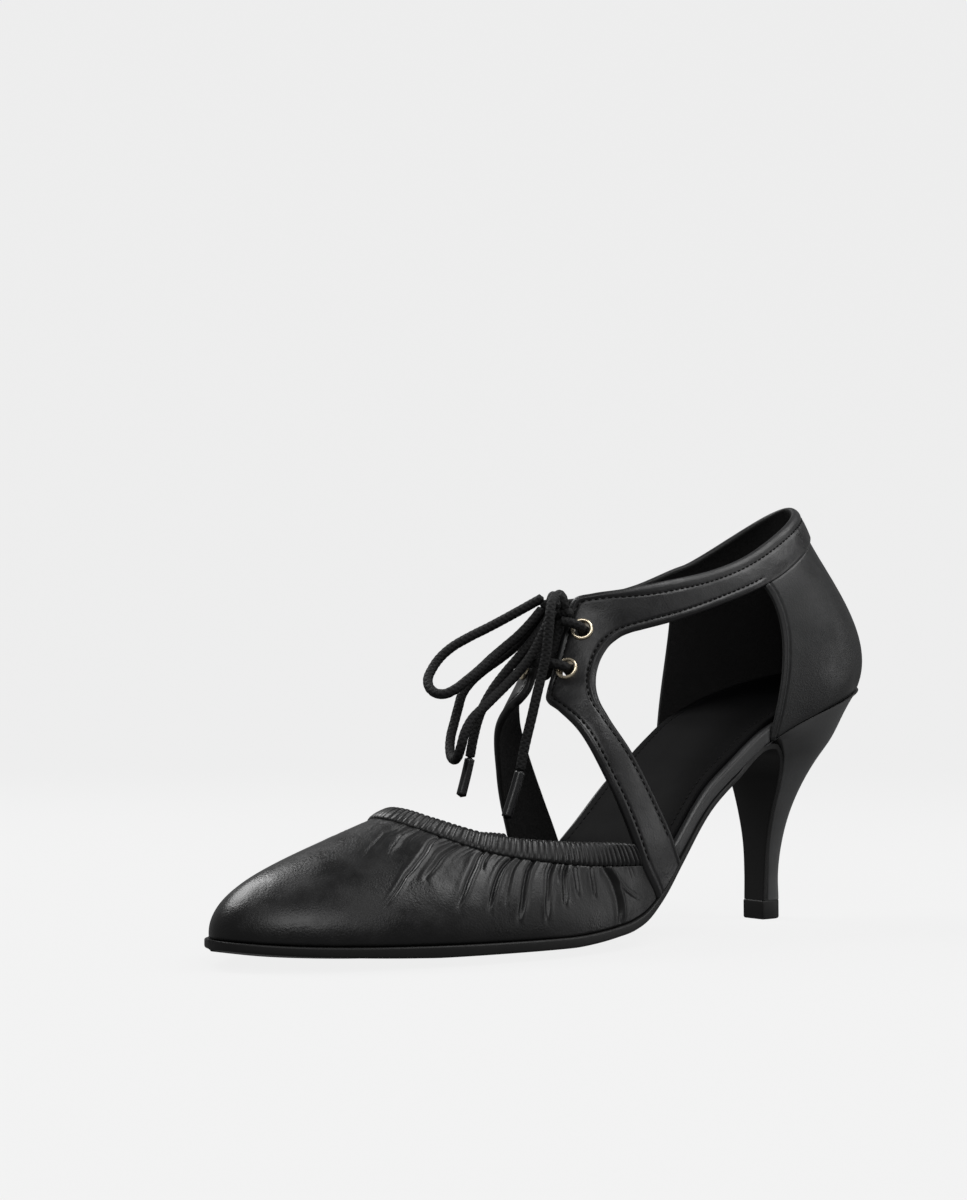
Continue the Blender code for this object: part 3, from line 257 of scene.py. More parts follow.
# How far the vamp's columns lean towards the toe on their way down, so that they run along the creases.
VAMP_LEAN = table(
    "station lean",
    [
        (0.0, 0.0), (0.2, 0.12), (0.4, 0.26), (0.55, 0.27), (0.62, 0.18), (0.7, 0.13), (0.8, 0.08),
        (0.9, 0.035), (1.0, 0.0),
    ],
)
VAMP_COLUMNS = {"spine": 41, "throat": 461}
VAMP_ROWS = 41
VAMP_RIBS = 801
FEATHER_POINTS = 900
BAND_CUTS = {"edge": 16, "edge_share": 0.3, "middle": 8, "rows": 211}
COUNTER_CUTS = {"up": 41, "edge": 17, "edge_share": 0.06, "rest": 58}
BINDING_CUTS = {"along": 700, "round": 24}

# Sewn edges: humps as (height, place, width) in millimetres, depth and width of the turned edge, edge rounds.
HEM_PUFF = 0.16
HEM_ENDS = np.array([-3.0, 1.0])
HEM_SEAM = (0.26, 0.42)
TURNED_EDGE = (0.26, 0.6)
COUNTER_PIPING = (0.30, 0.85, 0.6)
COUNTER_GROOVE = (0.30, 2.1, 0.38)
COLLAR_ROWS = (12, 14)
EDGE_ROUND = {"vamp": 0.3, "strap": 0.45, "counter": 0.3}
SWELL_SHARE = {"vamp": 0.4, "strap": 1.0, "counter": 0.2, "binding": 0.4}
# Painted light: the straps get a lighter copy of the same black leather, as if lit more than the vamp.
STRAP_PAINTED_LIGHT = 2.4
BOARD_SHADE = 0.45
RUBBER_SHADE = 0.8
# Painted shade: the sock's leather is darker than the black leather, to stand in for shade inside the shoe.
SOCK_PAINTED_SHADE = 0.7
COUNTER_DULLER = 0.08
STITCH_LINE = {"margin": 1.0, "step": 1.0}
STITCH_SINK = {"strap": 0.20, "sock": 0.12}
SOCK_STITCH_FROM = -20.0
SOCK_STITCH_ASIDE = 0.2

EYELETS = {"lower": (8.0, 0.36), "upper": (9.55, 0.40)}
EYELET_HOLE = 2.75
EYELET_CUTTER = 6.0
EYELET_ROLL = {
    "foot": 0.12, "rise": 0.78, "power": 0.8, "skirt": 0.02, "barrel": 0.25, "lap": 0.3, "back": 0.62
}
EYELET_CUTS = {"front": 9, "back": 7}
RING_SIDES = 48

# Lace: routes of the bow's loops and ends and of its two tips.
KNOT_CENTRE = np.array([-5.9, -4.0, 95.0])
LACE_ROUTES = {
    "lace_loop_high": [
        (-9.3, -1.2, 97.1), (-14.4, 4.0, 93.1), (-20.4, 9.0, 88.9), (-25.8, 12.3, 85.7),
        (-29.6, 14.8, 83.0), (-32.6, 16.4, 80.0), (-35.3, 16.7, 76.6), (-37.5, 15.6, 73.7),
        (-38.4, 13.4, 71.2), (-37.9, 10.8, 69.7), (-36.5, 8.6, 69.6), (-34.5, 7.2, 70.7),
        (-30.7, 6.0, 73.5), (-26.9, 5.3, 76.4), (-23.1, 4.9, 79.5), (-18.7, 4.2, 82.9),
        (-15.2, 2.2, 86.3), (-12.4, 0.0, 90.0), (-9.9, -1.9, 93.8),
    ],
    "lace_loop_low": [
        (-7.5, -0.5, 92.4), (-9.0, 3.0, 88.4), (-11.4, 7.2, 84.0), (-14.9, 10.4, 80.2),
        (-19.9, 12.5, 76.4), (-24.0, 13.3, 73.0), (-26.8, 13.5, 69.6), (-28.4, 13.3, 65.7),
        (-29.9, 13.2, 61.4), (-31.4, 12.8, 57.6), (-32.8, 11.4, 54.2), (-34.0, 9.1, 51.8),
        (-35.0, 6.3, 51.1), (-35.8, 3.6, 52.3), (-36.1, 1.8, 55.0), (-35.3, 1.2, 58.6),
        (-33.1, 1.0, 62.2), (-29.0, 0.3, 66.0), (-22.2, -0.5, 71.8), (-18.3, -1.4, 75.6),
        (-15.2, -2.6, 79.6), (-12.9, -4.2, 84.4), (-11.2, -5.8, 89.4), (-9.7, -6.5, 93.3),
    ],
    "lace_end_front": [
        (-9.4, -6.9, 96.8), (-11.6, -8.5, 95.6), (-13.0, -9.4, 93.0), (-13.6, -9.7, 89.4),
        (-13.9, -9.4, 85.0), (-14.2, -8.8, 80.0), (-14.8, -8.0, 75.6), (-15.8, -7.4, 71.0),
        (-17.4, -6.5, 63.2), (-19.1, -5.5, 55.1), (-20.4, -5.0, 48.4),
    ],
    "lace_end_back": [
        (-8.8, -3.5, 91.3), (-11.4, -1.4, 86.4), (-14.6, 2.0, 80.8), (-17.8, 4.6, 76.0),
        (-21.5, 6.6, 70.4), (-24.9, 7.6, 63.9), (-27.0, 8.2, 56.5), (-27.9, 8.4, 51.9),
    ],
}
LACE_TIPS = {
    "lace_tip_front": [(-20.55, -4.95, 47.6), (-22.4, -4.8, 42.2), (-25.0, -4.5, 35.3)],
    "lace_tip_back": [(-28.0, 8.4, 51.1), (-29.2, 8.5, 46.6), (-30.9, 8.6, 41.0)],
}
TIP_RADIUS = 1.45
LACE_STAND_OFF = 3.1
LACE_INSIDE = 5.6
BAR_REACH = 2.2
BAR_THROUGH = (1.4, 0.0, -2.2, -4.6)
BAR_CROSS = 1.7
BAR_BOW = np.array([-3.0, 0.0, 0.4])
BAR_ENDS = {"lateral": np.array([-1.4, -3.6, -4.6]), "medial": np.array([1.2, 5.8, -2.6])}
KNOT_STEM = [
    (-5.6, -4.6, 92.5), (-5.8, -4.4, 89.5), (-6.3, -4.1, 86.0), (-7.2, -3.7, 82.2), (-9.0, -3.0, 78.9)
]

# Knot: the way its strands run, the two wraps round them as (shift, lean), and the strands over and under.
KNOT_WAY = (-0.62, 0.30, -0.45)
KNOT_WRAPS = ((-1.3, 0.35), (1.2, -0.3))
KNOT_WRAP_SIZE = (2.55, 2.35, 0.9)
KNOT_STRANDS = (
    [(0.6, 5.0, -2.4), (0.2, 3.2, 1.2), (-1.2, 0.4, 2.7), (-2.6, -2.2, 1.6), (-3.0, -3.0, -0.6)],
    [(0.8, -5.0, -2.2), (0.4, -2.9, -2.5), (-0.6, 0.0, -2.4), (-2.0, 2.2, -0.6), (-3.0, 2.4, 1.0)],
)
BRAID = {"rate": 4.2, "strands": 4}
CORD_CUTS = {"round": 20, "step": 0.55, "knot_step": 0.4, "wrap": 41, "path": 30}
TIP_CUTS = {"round": 24, "step": 0.5}
CORD_END = 0.45

# Camera: place, way it looks in plan, tilt and focal length in pixels of a 967 by 1200 image.
CAMERA_PLACE = (-364.0, -428.0, 65.0)
CAMERA_TURN = 38.0
CAMERA_TILT = 3.26
CAMERA_FOCUS = 1934.0
CAMERA_HEIGHT = 1200.0
CAMERA_SENSOR = 36.0

# Floor: a round sweep that rises all round the shoe.
FLOOR_RADIUS = 1600.0
FLOOR_SWEEP = 900.0
FLOOR_WALL = 3200.0
FLOOR_SIDES = 96
FLOOR_SWEEP_STEPS = 13

# Soft boxes: place, target and size in metres.
SOFT_BOXES = {
    "key": ((-0.26, 0.74, 0.94), (-0.05, 0.0, 0.03), (0.7, 0.5)),
    "front": ((-0.60, -0.68, 0.76), (-0.03, 0.0, 0.05), (0.8, 0.6)),
    "fill": ((0.62, -0.85, 0.36), (0.0, 0.0, 0.05), (0.7, 0.6)),
    "top": ((0.50, -0.35, 0.95), (0.0, 0.0, 0.05), (0.7, 0.6)),
    "side": ((0.95, -0.50, 0.27), (0.06, 0.0, 0.08), (0.25, 0.7)),
}


def unit(vectors):
    """Vectors scaled to length one."""
    vectors = np.asarray(vectors, float)
    return vectors / np.linalg.norm(vectors, axis=-1, keepdims=True)


def smooth(knots, values, at, level=False, ends=None):
    """Cubic curve through the rows of values; level keeps flat stretches flat, ends gives end slopes."""
    knots = np.asarray(knots, float)
    values = np.asarray(values, float).reshape(len(knots), -1)
    at = np.atleast_1d(np.asarray(at, float))
    steps = np.diff(knots)[:, None]
    chords = np.diff(values, axis=0) / steps
    inner = (steps[1:] * chords[:-1] + steps[:-1] * chords[1:]) / (steps[1:] + steps[:-1])
    if level:
        least = np.minimum(abs(chords[:-1]), abs(chords[1:]))
        same_way = chords[:-1] * chords[1:] > 0
        inner = np.where(same_way, np.sign(inner) * np.minimum(abs(inner), 3 * least), 0.0)
    first, last = ends if ends is not None else (chords[0], chords[-1])
    slopes = np.vstack([first, inner, last])
    index = np.clip(np.searchsorted(knots, at, side="right") - 1, 0, len(knots) - 2)
    width = steps[index]
    f = (at - knots[index])[:, None] / width
    ease = f * f * (3 - 2 * f)
    return (
        values[index] * (1 - ease)
        + values[index + 1] * ease
        + width * slopes[index] * f * (1 - f) ** 2
        - width * slopes[index + 1] * f * f * (1 - f)
    )


def chord_knots(points):
    """Running length along the first axis of a row or a grid of points."""
    steps = np.linalg.norm(np.diff(points, axis=0), axis=-1)
    return np.concatenate([np.zeros((1, *steps.shape[1:])), np.cumsum(steps, axis=0)])


def even_points(route, step):
    """Points at an even step on a smooth curve through a route."""
    route = np.asarray(route, float)
    knots = chord_knots(route)
    count = max(3, round(knots[-1] / step) + 1)
    return smooth(knots, route, np.linspace(0, knots[-1], count))


def bezier(a, b, c, d, shares):
    """Cubic Bezier from a to d at the given shares."""
    t = np.asarray(shares, float)[:, None]
    return (1 - t) ** 3 * a + 3 * t * (1 - t) ** 2 * b + 3 * t * t * (1 - t) * c + t**3 * d


def eased(x, low, high):
    """0 below low, 1 above high, with a smooth change between."""
    f = np.clip((np.asarray(x, float) - low) / (high - low), 0, 1)
    return f * f * (3 - 2 * f)


def bell(x, rise, place, width):
    """Smooth hump of a rise at a place."""
    return rise * np.exp(-(((x - place) / width) ** 2))


def height(column, x):
    """Height of the tread or the seat, or depth of the dome, at x."""
    return smooth(BOTTOM["x"], BOTTOM[column], x, level=True)[:, 0]


@functools.lru_cache(maxsize=None)
def feather(side):
    """Dense plan of the feather edge: x, half width, outward normals and running length."""
    points = np.column_stack([OUTLINE["x"], OUTLINE[side]])
    knots = chord_knots(points)
    curve = smooth(knots, points, np.linspace(0, knots[-1], FEATHER_POINTS), ends=((0, 1), (0, -1)))
    tangents = unit(np.gradient(curve, axis=0))
    tangents[0] = (0, 1)
    tangents[-1] = (0, -1)
    normals = np.column_stack([-tangents[:, 1], tangents[:, 0]])
    return curve[:, 0], curve[:, 1], normals, chord_knots(curve)


def half_width(side, x, shift):
    """Half width of the feather outline at x, moved out by shift along its normals."""
    xs, ys, normals, _ = feather(side)
    return np.interp(x, xs + normals[:, 0] * shift, ys + normals[:, 1] * shift)


def on_side(side, points):
    """Points given with outward y, put on their side of the shoe."""
    points = np.array(points, float)
    points[..., 1] *= SIDES[side]
    return points


def feather_points(side, lengths):
    """Points on the rim line of the upper and outward normals, at running lengths from the toe tip."""
    xs, ys, normals, run = feather(side)
    x = np.interp(lengths, run, xs)
    y = np.interp(lengths, run, ys)
    out_x = np.interp(lengths, run, normals[:, 0])
    out_y = np.interp(lengths, run, normals[:, 1])
    points = np.column_stack([x, y, height("seat", x) + RIM_CLEARANCE])
    return points, np.column_stack([out_x, out_y, np.zeros(len(x))])


def length_at(side, x):
    """Running length of the feather edge where it reaches x."""
    xs, _, _, run = feather(side)
    return np.interp(x, xs, run)


def vamp_row(side, station):
    """All vamp values at one station, and the way the throat edge runs outward there."""
    names = ("x", side, "z", "run_x", "run_y", "run_z", "fan", "rise", "reach", "flare")
    values = np.column_stack([VAMP[name] for name in names])
    knots = VAMP["station"]
    turn = int(np.argmin(abs(knots - THROAT_STATION)))
    if station < THROAT_STATION:
        return smooth(knots[: turn + 1], values[: turn + 1], station)[0], np.array([0.0, 1.0, 0.0])
    mirrored = values[turn + 1] * np.where([name in (side, "run_y") for name in names], -1, 1)
    edge_knots = np.concatenate([[2 * knots[turn] - knots[turn + 1]], knots[turn:]])
    edge_values = np.vstack([mirrored, values[turn:]])
    at = [station, station + STATION_NUDGE, station - STATION_NUDGE]
    here, ahead, behind = smooth(edge_knots, edge_values, at)
    return here, unit(ahead[:3] - behind[:3])


def vamp_rib(side, station, shares):
    """Points of one rib of the vamp, from the feather edge up, with outward y."""
    row, edge = vamp_row(side, station)
    foot, outward = feather_points(side, [station * length_at(side, STRAP_FRONT_FOOT)])
    top, run = row[:3], unit(row[3:6])
    fan, rise, reach, flare = row[6:]
    inward = math.cos(math.radians(fan)) * run - math.sin(math.radians(fan)) * edge
    lean = station**4
    low = foot[0] + unit((1 - lean) * UP + lean * run) * rise + outward[0] * flare
    return bezier(foot[0], low, top - inward * reach, top, shares)


def throat_frame(side, station):
    """Throat edge point, the way on over the binding, and the outward normal, with outward y."""
    row, edge = vamp_row(side, station)
    run = unit(row[3:6])
    normal = unit(np.cross(run, edge))
    return row[:3], run, normal * (1 if normal[2] > 0 or normal[1] > 0 else -1)


@functools.lru_cache(maxsize=None)
def band_rows(side):
    """Front edge, rear edge and crown of the band, row by row to the back of the heel, with outward y."""
    drop = BAND["drop"] if side == "medial" else 0.0
    front = np.column_stack([BAND["front_x"], BAND["front_" + side], BAND["front_z"] - drop])
    rear = np.column_stack([BAND["rear_x"], BAND["rear_" + side], BAND["rear_z"] - drop])
    angles = np.linspace(0, math.pi / 2, HEEL_TURNS + 1)[1:]
    edges = []
    for edge, name in ((front, "front"), (rear, "rear")):
        back_x, back_z = COLLAR_BACK[name]
        power = 2 / COLLAR_ROUND[name]
        start = edge[-1]
        ahead = np.sin(angles) ** power
        turn_x = start[0] + (back_x - start[0]) * ahead
        turn_y = start[1] * abs(np.cos(angles)) ** power
        turn_y[-1] = 0.0
        turn_z = start[2] + (back_z - start[2]) * ahead ** COLLAR_CLIMB[side][name]
        edges.append(np.vstack([edge, np.column_stack([turn_x, turn_y, turn_z])]))
    crown = np.concatenate([BAND["crown"], np.full(HEEL_TURNS, BAND["crown"][-1])])
    return np.column_stack([edges[0], edges[1], crown])


@functools.lru_cache(maxsize=None)
def band_knots():
    """Running length of the band's middle at each row, the same for both sides."""
    rows = band_rows("lateral")
    return chord_knots((rows[:, :3] + rows[:, 3:6]) / 2)


def band_at(row):
    """Running length of the band's middle at a row counted along its table."""
    knots = band_knots()
    return float(np.interp(row, np.arange(len(knots)), knots))


def band_values(side, at):
    """Band rows at a running length; past the back seam the curve goes on as on the other side."""
    rows = band_rows(side)
    knots = band_knots()
    mirror = rows[-2] * np.array([1, -1, 1, 1, -1, 1, 1])
    knots = np.append(knots, 2 * knots[-1] - knots[-2])
    return smooth(knots, np.vstack([rows, mirror]), at)


def band_section(side, at, shares, front=None):
    """Points across the band at running length at, from front edge to rear edge, with outward y."""
    nudge = BAND_NUDGE["section"]
    here, ahead, behind = band_values(side, [at, at + nudge, at - nudge])
    start = here[:3] if front is None else front
    end = here[3:6]
    along = (ahead[:3] + ahead[3:6] - behind[:3] - behind[3:6]) / 2
    outward = unit(np.cross(along, end - start))
    q = np.asarray(shares, float)[:, None]
    return start + (end - start) * q + outward * here[6] * 4 * q * (1 - q)


def band_point(side, at, share, lift):
    """Point over the band and its outward normal, at a running length, on its side."""
    nudge = BAND_NUDGE["across"]
    across = band_section(side, at, (share - nudge, share, share + nudge))
    ahead, behind = (band_section(side, at + way * BAND_NUDGE["along"], [share])[0] for way in (1, -1))
    normal = unit(np.cross(ahead - behind, across[2] - across[0]))
    return on_side(side, across[1] + normal * lift), on_side(side, normal)


def counter_rib(side, share, top, upward, shares):
    """Points of one rib of the counter, from the seat up to the band's lower edge, with outward y."""
    first = length_at(side, COUNTER_FOOT_X)
    last = feather(side)[3][-1]
    foot, outward = feather_points(side, [first + (last - first) * share])
    bulge = COUNTER_BULGE["side"] + (COUNTER_BULGE["back"] - COUNTER_BULGE["side"]) * share
    shoulder = COUNTER_SHOULDER["side"] + (COUNTER_SHOULDER["back"] - COUNTER_SHOULDER["side"]) * share
    bow = np.array([COUNTER_FRONT_BOW * (1 - eased(share, 0, COUNTER_BOW_END)), 0, 0])
    low = foot[0] + UP * COUNTER_RISE + outward[0] * bulge + bow
    high = top - upward * COUNTER_REACH + outward[0] * shoulder + bow
    return bezier(foot[0], low, high, top, shares)


class Wire:
    """Socket of a node tree that can be used in sums, with its Math nodes added as needed."""

    def __init__(self, nodes, socket):
        self.nodes = nodes
        self.socket = socket

    def maths(self, operation, *others):
        """Math node on this socket and others."""
        return self.nodes.add("ShaderNodeMath", {"operation": operation}, dict(enumerate((self, *others))))

    def __add__(self, other):
        return self.maths("ADD", other)

    def __mul__(self, other):
        return self.maths("MULTIPLY", other)

    def __sub__(self, other):
        return self.maths("SUBTRACT", other)

    def __rsub__(self, other):
        return self.nodes.add("ShaderNodeMath", {"operation": "SUBTRACT"}, {0: other, 1: self})

    def __truediv__(self, other):
        return self.maths("DIVIDE", other)

    def __pow__(self, other):
        return self.maths("POWER", other)

    __radd__ = __add__
    __rmul__ = __mul__


class Nodes:
    """Node tree that is filled node by node."""

    def __init__(self, tree):
        self.tree = tree

    def add(self, kind, settings=None, sockets=None, out=0):
        """New node with its settings first, then the values or links of its sockets; gives one output."""
        made = self.tree.nodes.new(kind)
        for name, value in (settings or {}).items():
            if name == "stops":
                fill_ramp(made.color_ramp, value)
            else:
                setattr(made, name, value)
        for name, value in (sockets or {}).items():
            self.plug(made.inputs[name], value)
        return Wire(self, made.outputs[out]) if len(made.outputs) else made

    def plug(self, target, value):
        """Link or value of one socket."""
        if isinstance(value, Wire):
            self.tree.links.new(value.socket, target)
        else:
            target.default_value = value


def fill_ramp(ramp, stops):
    """Stops of a colour ramp as (place, grey)."""
    while len(ramp.elements) < len(stops):
        ramp.elements.new(0.5)
    for element, (place, grey) in zip(ramp.elements, stops):
        element.position = place
        element.color = (grey, grey, grey, 1.0)


class Finish(Nodes):
    """Procedural material of one kind of surface."""

    def __init__(self, name):
        self.material = bpy.data.materials.new(name)
        self.material.use_nodes = True
        super().__init__(self.material.node_tree)
        self.shader = self.tree.nodes["Principled BSDF"]

    def place(self):
        """Place on the piece in metres."""
        return self.add("ShaderNodeTexCoord", out="Object")

    def noise(self, vector, scale, detail=3.0, rough=0.5):
        """Even noise from 0 to 1."""
        sockets = {"Vector": vector, "Scale": scale, "Detail": detail, "Roughness": rough}
        return self.add("ShaderNodeTexNoise", {}, sockets, out="Fac")

    def cells(self, vector, scale, smoothness=0.5):
        """Rounded cells: 0 in their middle."""
        sockets = {"Vector": vector, "Scale": scale, "Smoothness": smoothness}
        return self.add("ShaderNodeTexVoronoi", {"feature": "SMOOTH_F1"}, sockets, out="Distance")

    def field(self, name):
        """Value that the mesh itself carries."""
        return self.add("ShaderNodeAttribute", {"attribute_name": name}, out="Fac")

    def ramp(self, value, stops):
        """Grey ramp over a value."""
        return self.add("ShaderNodeValToRGB", {"stops": stops}, {"Fac": value})

    def blend(self, share, first, second):
        """Colour between two colours."""
        def filled(colour):
            return colour if isinstance(colour, Wire) else (*colour, 1.0)

        sockets = {0: share, 6: filled(first), 7: filled(second)}
        return self.add("ShaderNodeMix", {"data_type": "RGBA"}, sockets, out=2)

    def bump(self, height, depth, strength=1.0, under=None):
        """Normal of a relief that is depth metres high, over another one."""
        sockets = {"Height": height, "Distance": depth, "Strength": strength}
        if under is not None:
            sockets["Normal"] = under
        return self.add("ShaderNodeBump", {}, sockets)

    def shade(self, **sockets):
        """Sockets of the shader, with spaces written as underscores."""
        for name, value in sockets.items():
            self.plug(self.shader.inputs[name.replace("_", " ")], value)
        return self.material


def darker(colour, share):
    """Colour scaled towards black or up."""
    return tuple(channel * share for channel in colour)


# Noises as (scale, detail, roughness), with scales per metre, and depths of relief in metres.
LEATHER_NOISE = {
    "cloud": (75.0, 4.0, 0.6),
    "fine": (420.0, 3.0),
    "nap": (1300.0, 4.0, 0.75),
    "swell": (120.0, 2.0),
}
COVER_NOISE = {"cloud": (70.0, 4.0, 0.55), "swell": (90.0, 2.0)}
LEATHER_RELIEF = {"swell": 0.0011, "grain": 0.00010, "nap": 0.0005}
COVER_RELIEF = {"swell": 0.0005, "grain": 0.00006}
CLOUD_EDGES = ((0.34, 0.0), (0.66, 1.0))
LINING_ROUGHNESS = 0.9


def shades(colour, *shares):
    """Shades of one colour."""
    return [darker(colour, share) for share in shares]


def leather_finish(name, colour, roughness, swell, settings):
    """Soft black leather with grain and a cloudy gloss, and its lining on the faces that carry lining."""
    look = Finish(name)
    place = look.place()
    lining = look.field("lining")
    cloud, fine, nap, uneven = (look.noise(place, *sizes) for sizes in LEATHER_NOISE.values())
    grain = look.cells(place, 1.0 / settings.grain, 0.5)
    pores = look.noise(place, 2.2 / settings.grain, 2.0)
    tone = look.blend(cloud * 0.6 + fine * 0.4, *shades(colour, 0.6, 1.6))
    base = look.blend(lining, tone, look.blend(nap, *shades(settings.lining, 0.3, 2.4)))
    gloss = look.ramp(cloud, CLOUD_EDGES) * settings.cloud + fine * 0.06 + (roughness - 0.03)
    under = look.bump(uneven, LEATHER_RELIEF["swell"], swell)
    relief = look.bump(grain * 0.7 + pores * 0.5, LEATHER_RELIEF["grain"], settings.grain_depth, under)
    rough_side = look.bump(nap, LEATHER_RELIEF["nap"], 0.9)
    normal = look.add("ShaderNodeMix", {"data_type": "VECTOR"}, {0: lining, 4: relief, 5: rough_side}, out=1)
    rough = (gloss - settings.cloud * 0.5) * (1.0 - lining) + lining * LINING_ROUGHNESS
    return look.shade(Base_Color=base, Roughness=rough, Normal=normal, Specular_IOR_Level=settings.shine)


def cover_finish(name, colour, settings, roughness, shine):
    """Smooth covering leather of heel, board and sock."""
    look = Finish(name)
    place = look.place()
    cloud = look.noise(place, *COVER_NOISE["cloud"])
    uneven = look.noise(place, *COVER_NOISE["swell"])
    grain = look.cells(place, 1.25 / settings.grain, 0.8)
    tone = look.blend(cloud, *shades(colour, 0.7, 1.5))
    swell = look.bump(uneven, COVER_RELIEF["swell"], 0.25)
    relief = look.bump(grain, COVER_RELIEF["grain"], settings.grain_depth, swell)
    gloss = cloud * 0.16 + (roughness - 0.08)
    return look.shade(Base_Color=tone, Roughness=gloss, Normal=relief, Specular_IOR_Level=shine)


def sole_finish(name, colour):
    """Moulded sole: matte, with fine scuffs and faint layers along its edge."""
    look = Finish(name)
    place = look.place()
    cloud = look.noise(place, 70.0, 5.0, 0.6)
    streaks = look.add("ShaderNodeMapping", {}, {"Vector": place, "Scale": (30.0, 30.0, 900.0)})
    layers = look.noise(streaks, 1.0, 2.0)
    tone = look.blend(cloud, *shades(colour, 0.8, 1.5))
    relief = look.bump(layers * 0.6 + look.noise(place, 1400.0, 2.0) * 0.4, 0.00008, 0.6)
    return look.shade(Base_Color=tone, Roughness=cloud * 0.16 + 0.44, Normal=relief, Specular_IOR_Level=0.25)


# Plain surfaces: noise of the wear and of the lumps, shades of the colour, relief as (depth, strength), and
# gloss as (change, least).
METAL_LOOK = {
    "wear": (900.0, 4.0, 0.65),
    "lumps": (700.0, 2.0),
    "tones": (1.0, 0.82),
    "relief": (0.00001, 0.3),
    "gloss": (0.08, 0.16),
    "Metallic": 0.75,
}
TIP_LOOK = {
    "wear": (800.0, 4.0, 0.6),
    "lumps": (800.0, 4.0, 0.6),
    "tones": (1.0, 1.8),
    "relief": (0.00004, 0.5),
    "gloss": (0.2, 0.12),
}
THREAD_LOOK = {
    "wear": (3200.0, 2.0),
    "lumps": (3200.0, 2.0),
    "tones": (0.6, 1.6),
    "relief": (0.00006, 0.8),
    "gloss": (0.2, 0.6),
    "Specular_IOR_Level": 0.08,
}


def worn_finish(name, colour, wear, lumps, tones, relief, gloss, **constants):
    """Plain surface with faint wear: metal, lace tip or thread."""
    look = Finish(name)
    place = look.place()
    worn = look.noise(place, *wear)
    tone = look.blend(worn, *shades(colour, *tones))
    normal = look.bump(look.noise(place, *lumps), *relief)
    change, least = gloss
    return look.shade(Base_Color=tone, Roughness=worn * change + least, Normal=normal, **constants)


def cord_finish(name, colour):
    """Braided cord: strands that cross along the piece's own lay, with a little fibre."""
    look = Finish(name)
    lay = look.add("ShaderNodeUVMap", {"uv_map": "lay"})
    parts = look.tree.nodes.new("ShaderNodeSeparateXYZ")
    look.plug(parts.inputs[0], lay)
    along = Wire(look, parts.outputs[0]) * BRAID["rate"]
    around = Wire(look, parts.outputs[1]) * (2 * math.pi * BRAID["strands"])
    weave_height_and_painted_shade = (along + around).maths("SINE").maths("MAXIMUM", (along - around).maths("SINE")) * 0.5 + 0.5
    fibre = look.noise(look.place(), 2600.0, 3.0)
    # Painted shade: the braid's tone follows its relief, darker in the grooves between strands and lighter on
    # the crests.
    tone = look.blend(weave_height_and_painted_shade * 0.7 + fibre * 0.3, *shades(colour, 0.5, 1.7))
    relief = look.bump(weave_height_and_painted_shade + fibre * 0.4, 0.00016, 0.9)
    return look.shade(Base_Color=tone, Roughness=fibre * 0.15 + 0.62, Normal=relief, Specular_IOR_Level=0.22)


def new_piece(name, points, polygons, finish, fields=None):
    """Piece from points in millimetres, shaded smooth, with values that its points carry."""
    mesh = bpy.data.meshes.new(name)
    mesh.from_pydata([tuple(p) for p in np.asarray(points) * MM], [], [list(map(int, p)) for p in polygons])
    for field, values in (fields or {}).items():
        layer = mesh.attributes.new(field, "FLOAT", "POINT")
        layer.data.foreach_set("value", np.asarray(values, np.float32))
    mesh.shade_smooth()
    mesh.materials.append(finish)
    made = bpy.data.objects.new(name, mesh)
    bpy.context.scene.collection.objects.link(made)
    return made


def seat_piece(piece, slot, *nodes):
    """Ties a finished piece to the body and hides the solids that it stands for; the slot is not used."""
    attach(piece, "root")
    for node in nodes:
        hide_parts(node)
    return piece


def applied(piece):
    """Puts the result of a piece's modifiers in its mesh."""
    graph = bpy.context.evaluated_depsgraph_get()
    graph.update()
    mesh = bpy.data.meshes.new_from_object(piece.evaluated_get(graph))
    piece.modifiers.clear()
    piece.data = mesh
    return piece


def weld(grids, flips, fields):
    """Points, quads and point values of grids, with points that coincide made one."""
    points = np.vstack([grid.reshape(-1, 3) for grid in grids])
    keys = np.round(points, 3) + 0.0
    _, first, index = np.unique(keys, axis=0, return_index=True, return_inverse=True)
    index = index.reshape(-1)
    quads = []
    start = 0
    for grid, flip in zip(grids, flips):
        rows, columns = grid.shape[:2]
        ids = index[start : start + rows * columns].reshape(rows, columns)
        start += rows * columns
        corners = [ids[:-1, :-1], ids[1:, :-1], ids[1:, 1:], ids[:-1, 1:]]
        block = np.stack([corner.reshape(-1) for corner in corners], axis=1)
        quads.append(block[:, ::-1] if flip else block)
    joined = {}
    for name in fields[0]:
        joined[name] = np.concatenate([field[name].reshape(-1) for field in fields])[first]
    return points[first], np.vstack(quads), joined


def quad_normals(points, quads):
    """Outward normals of points, weighted by face area."""
    a, b, c, d = (points[quads[:, k]] for k in range(4))
    faces = np.cross(c - a, d - b)
    normals = np.zeros_like(points)
    for k in range(4):
        np.add.at(normals, quads[:, k], faces)
    return unit(normals)


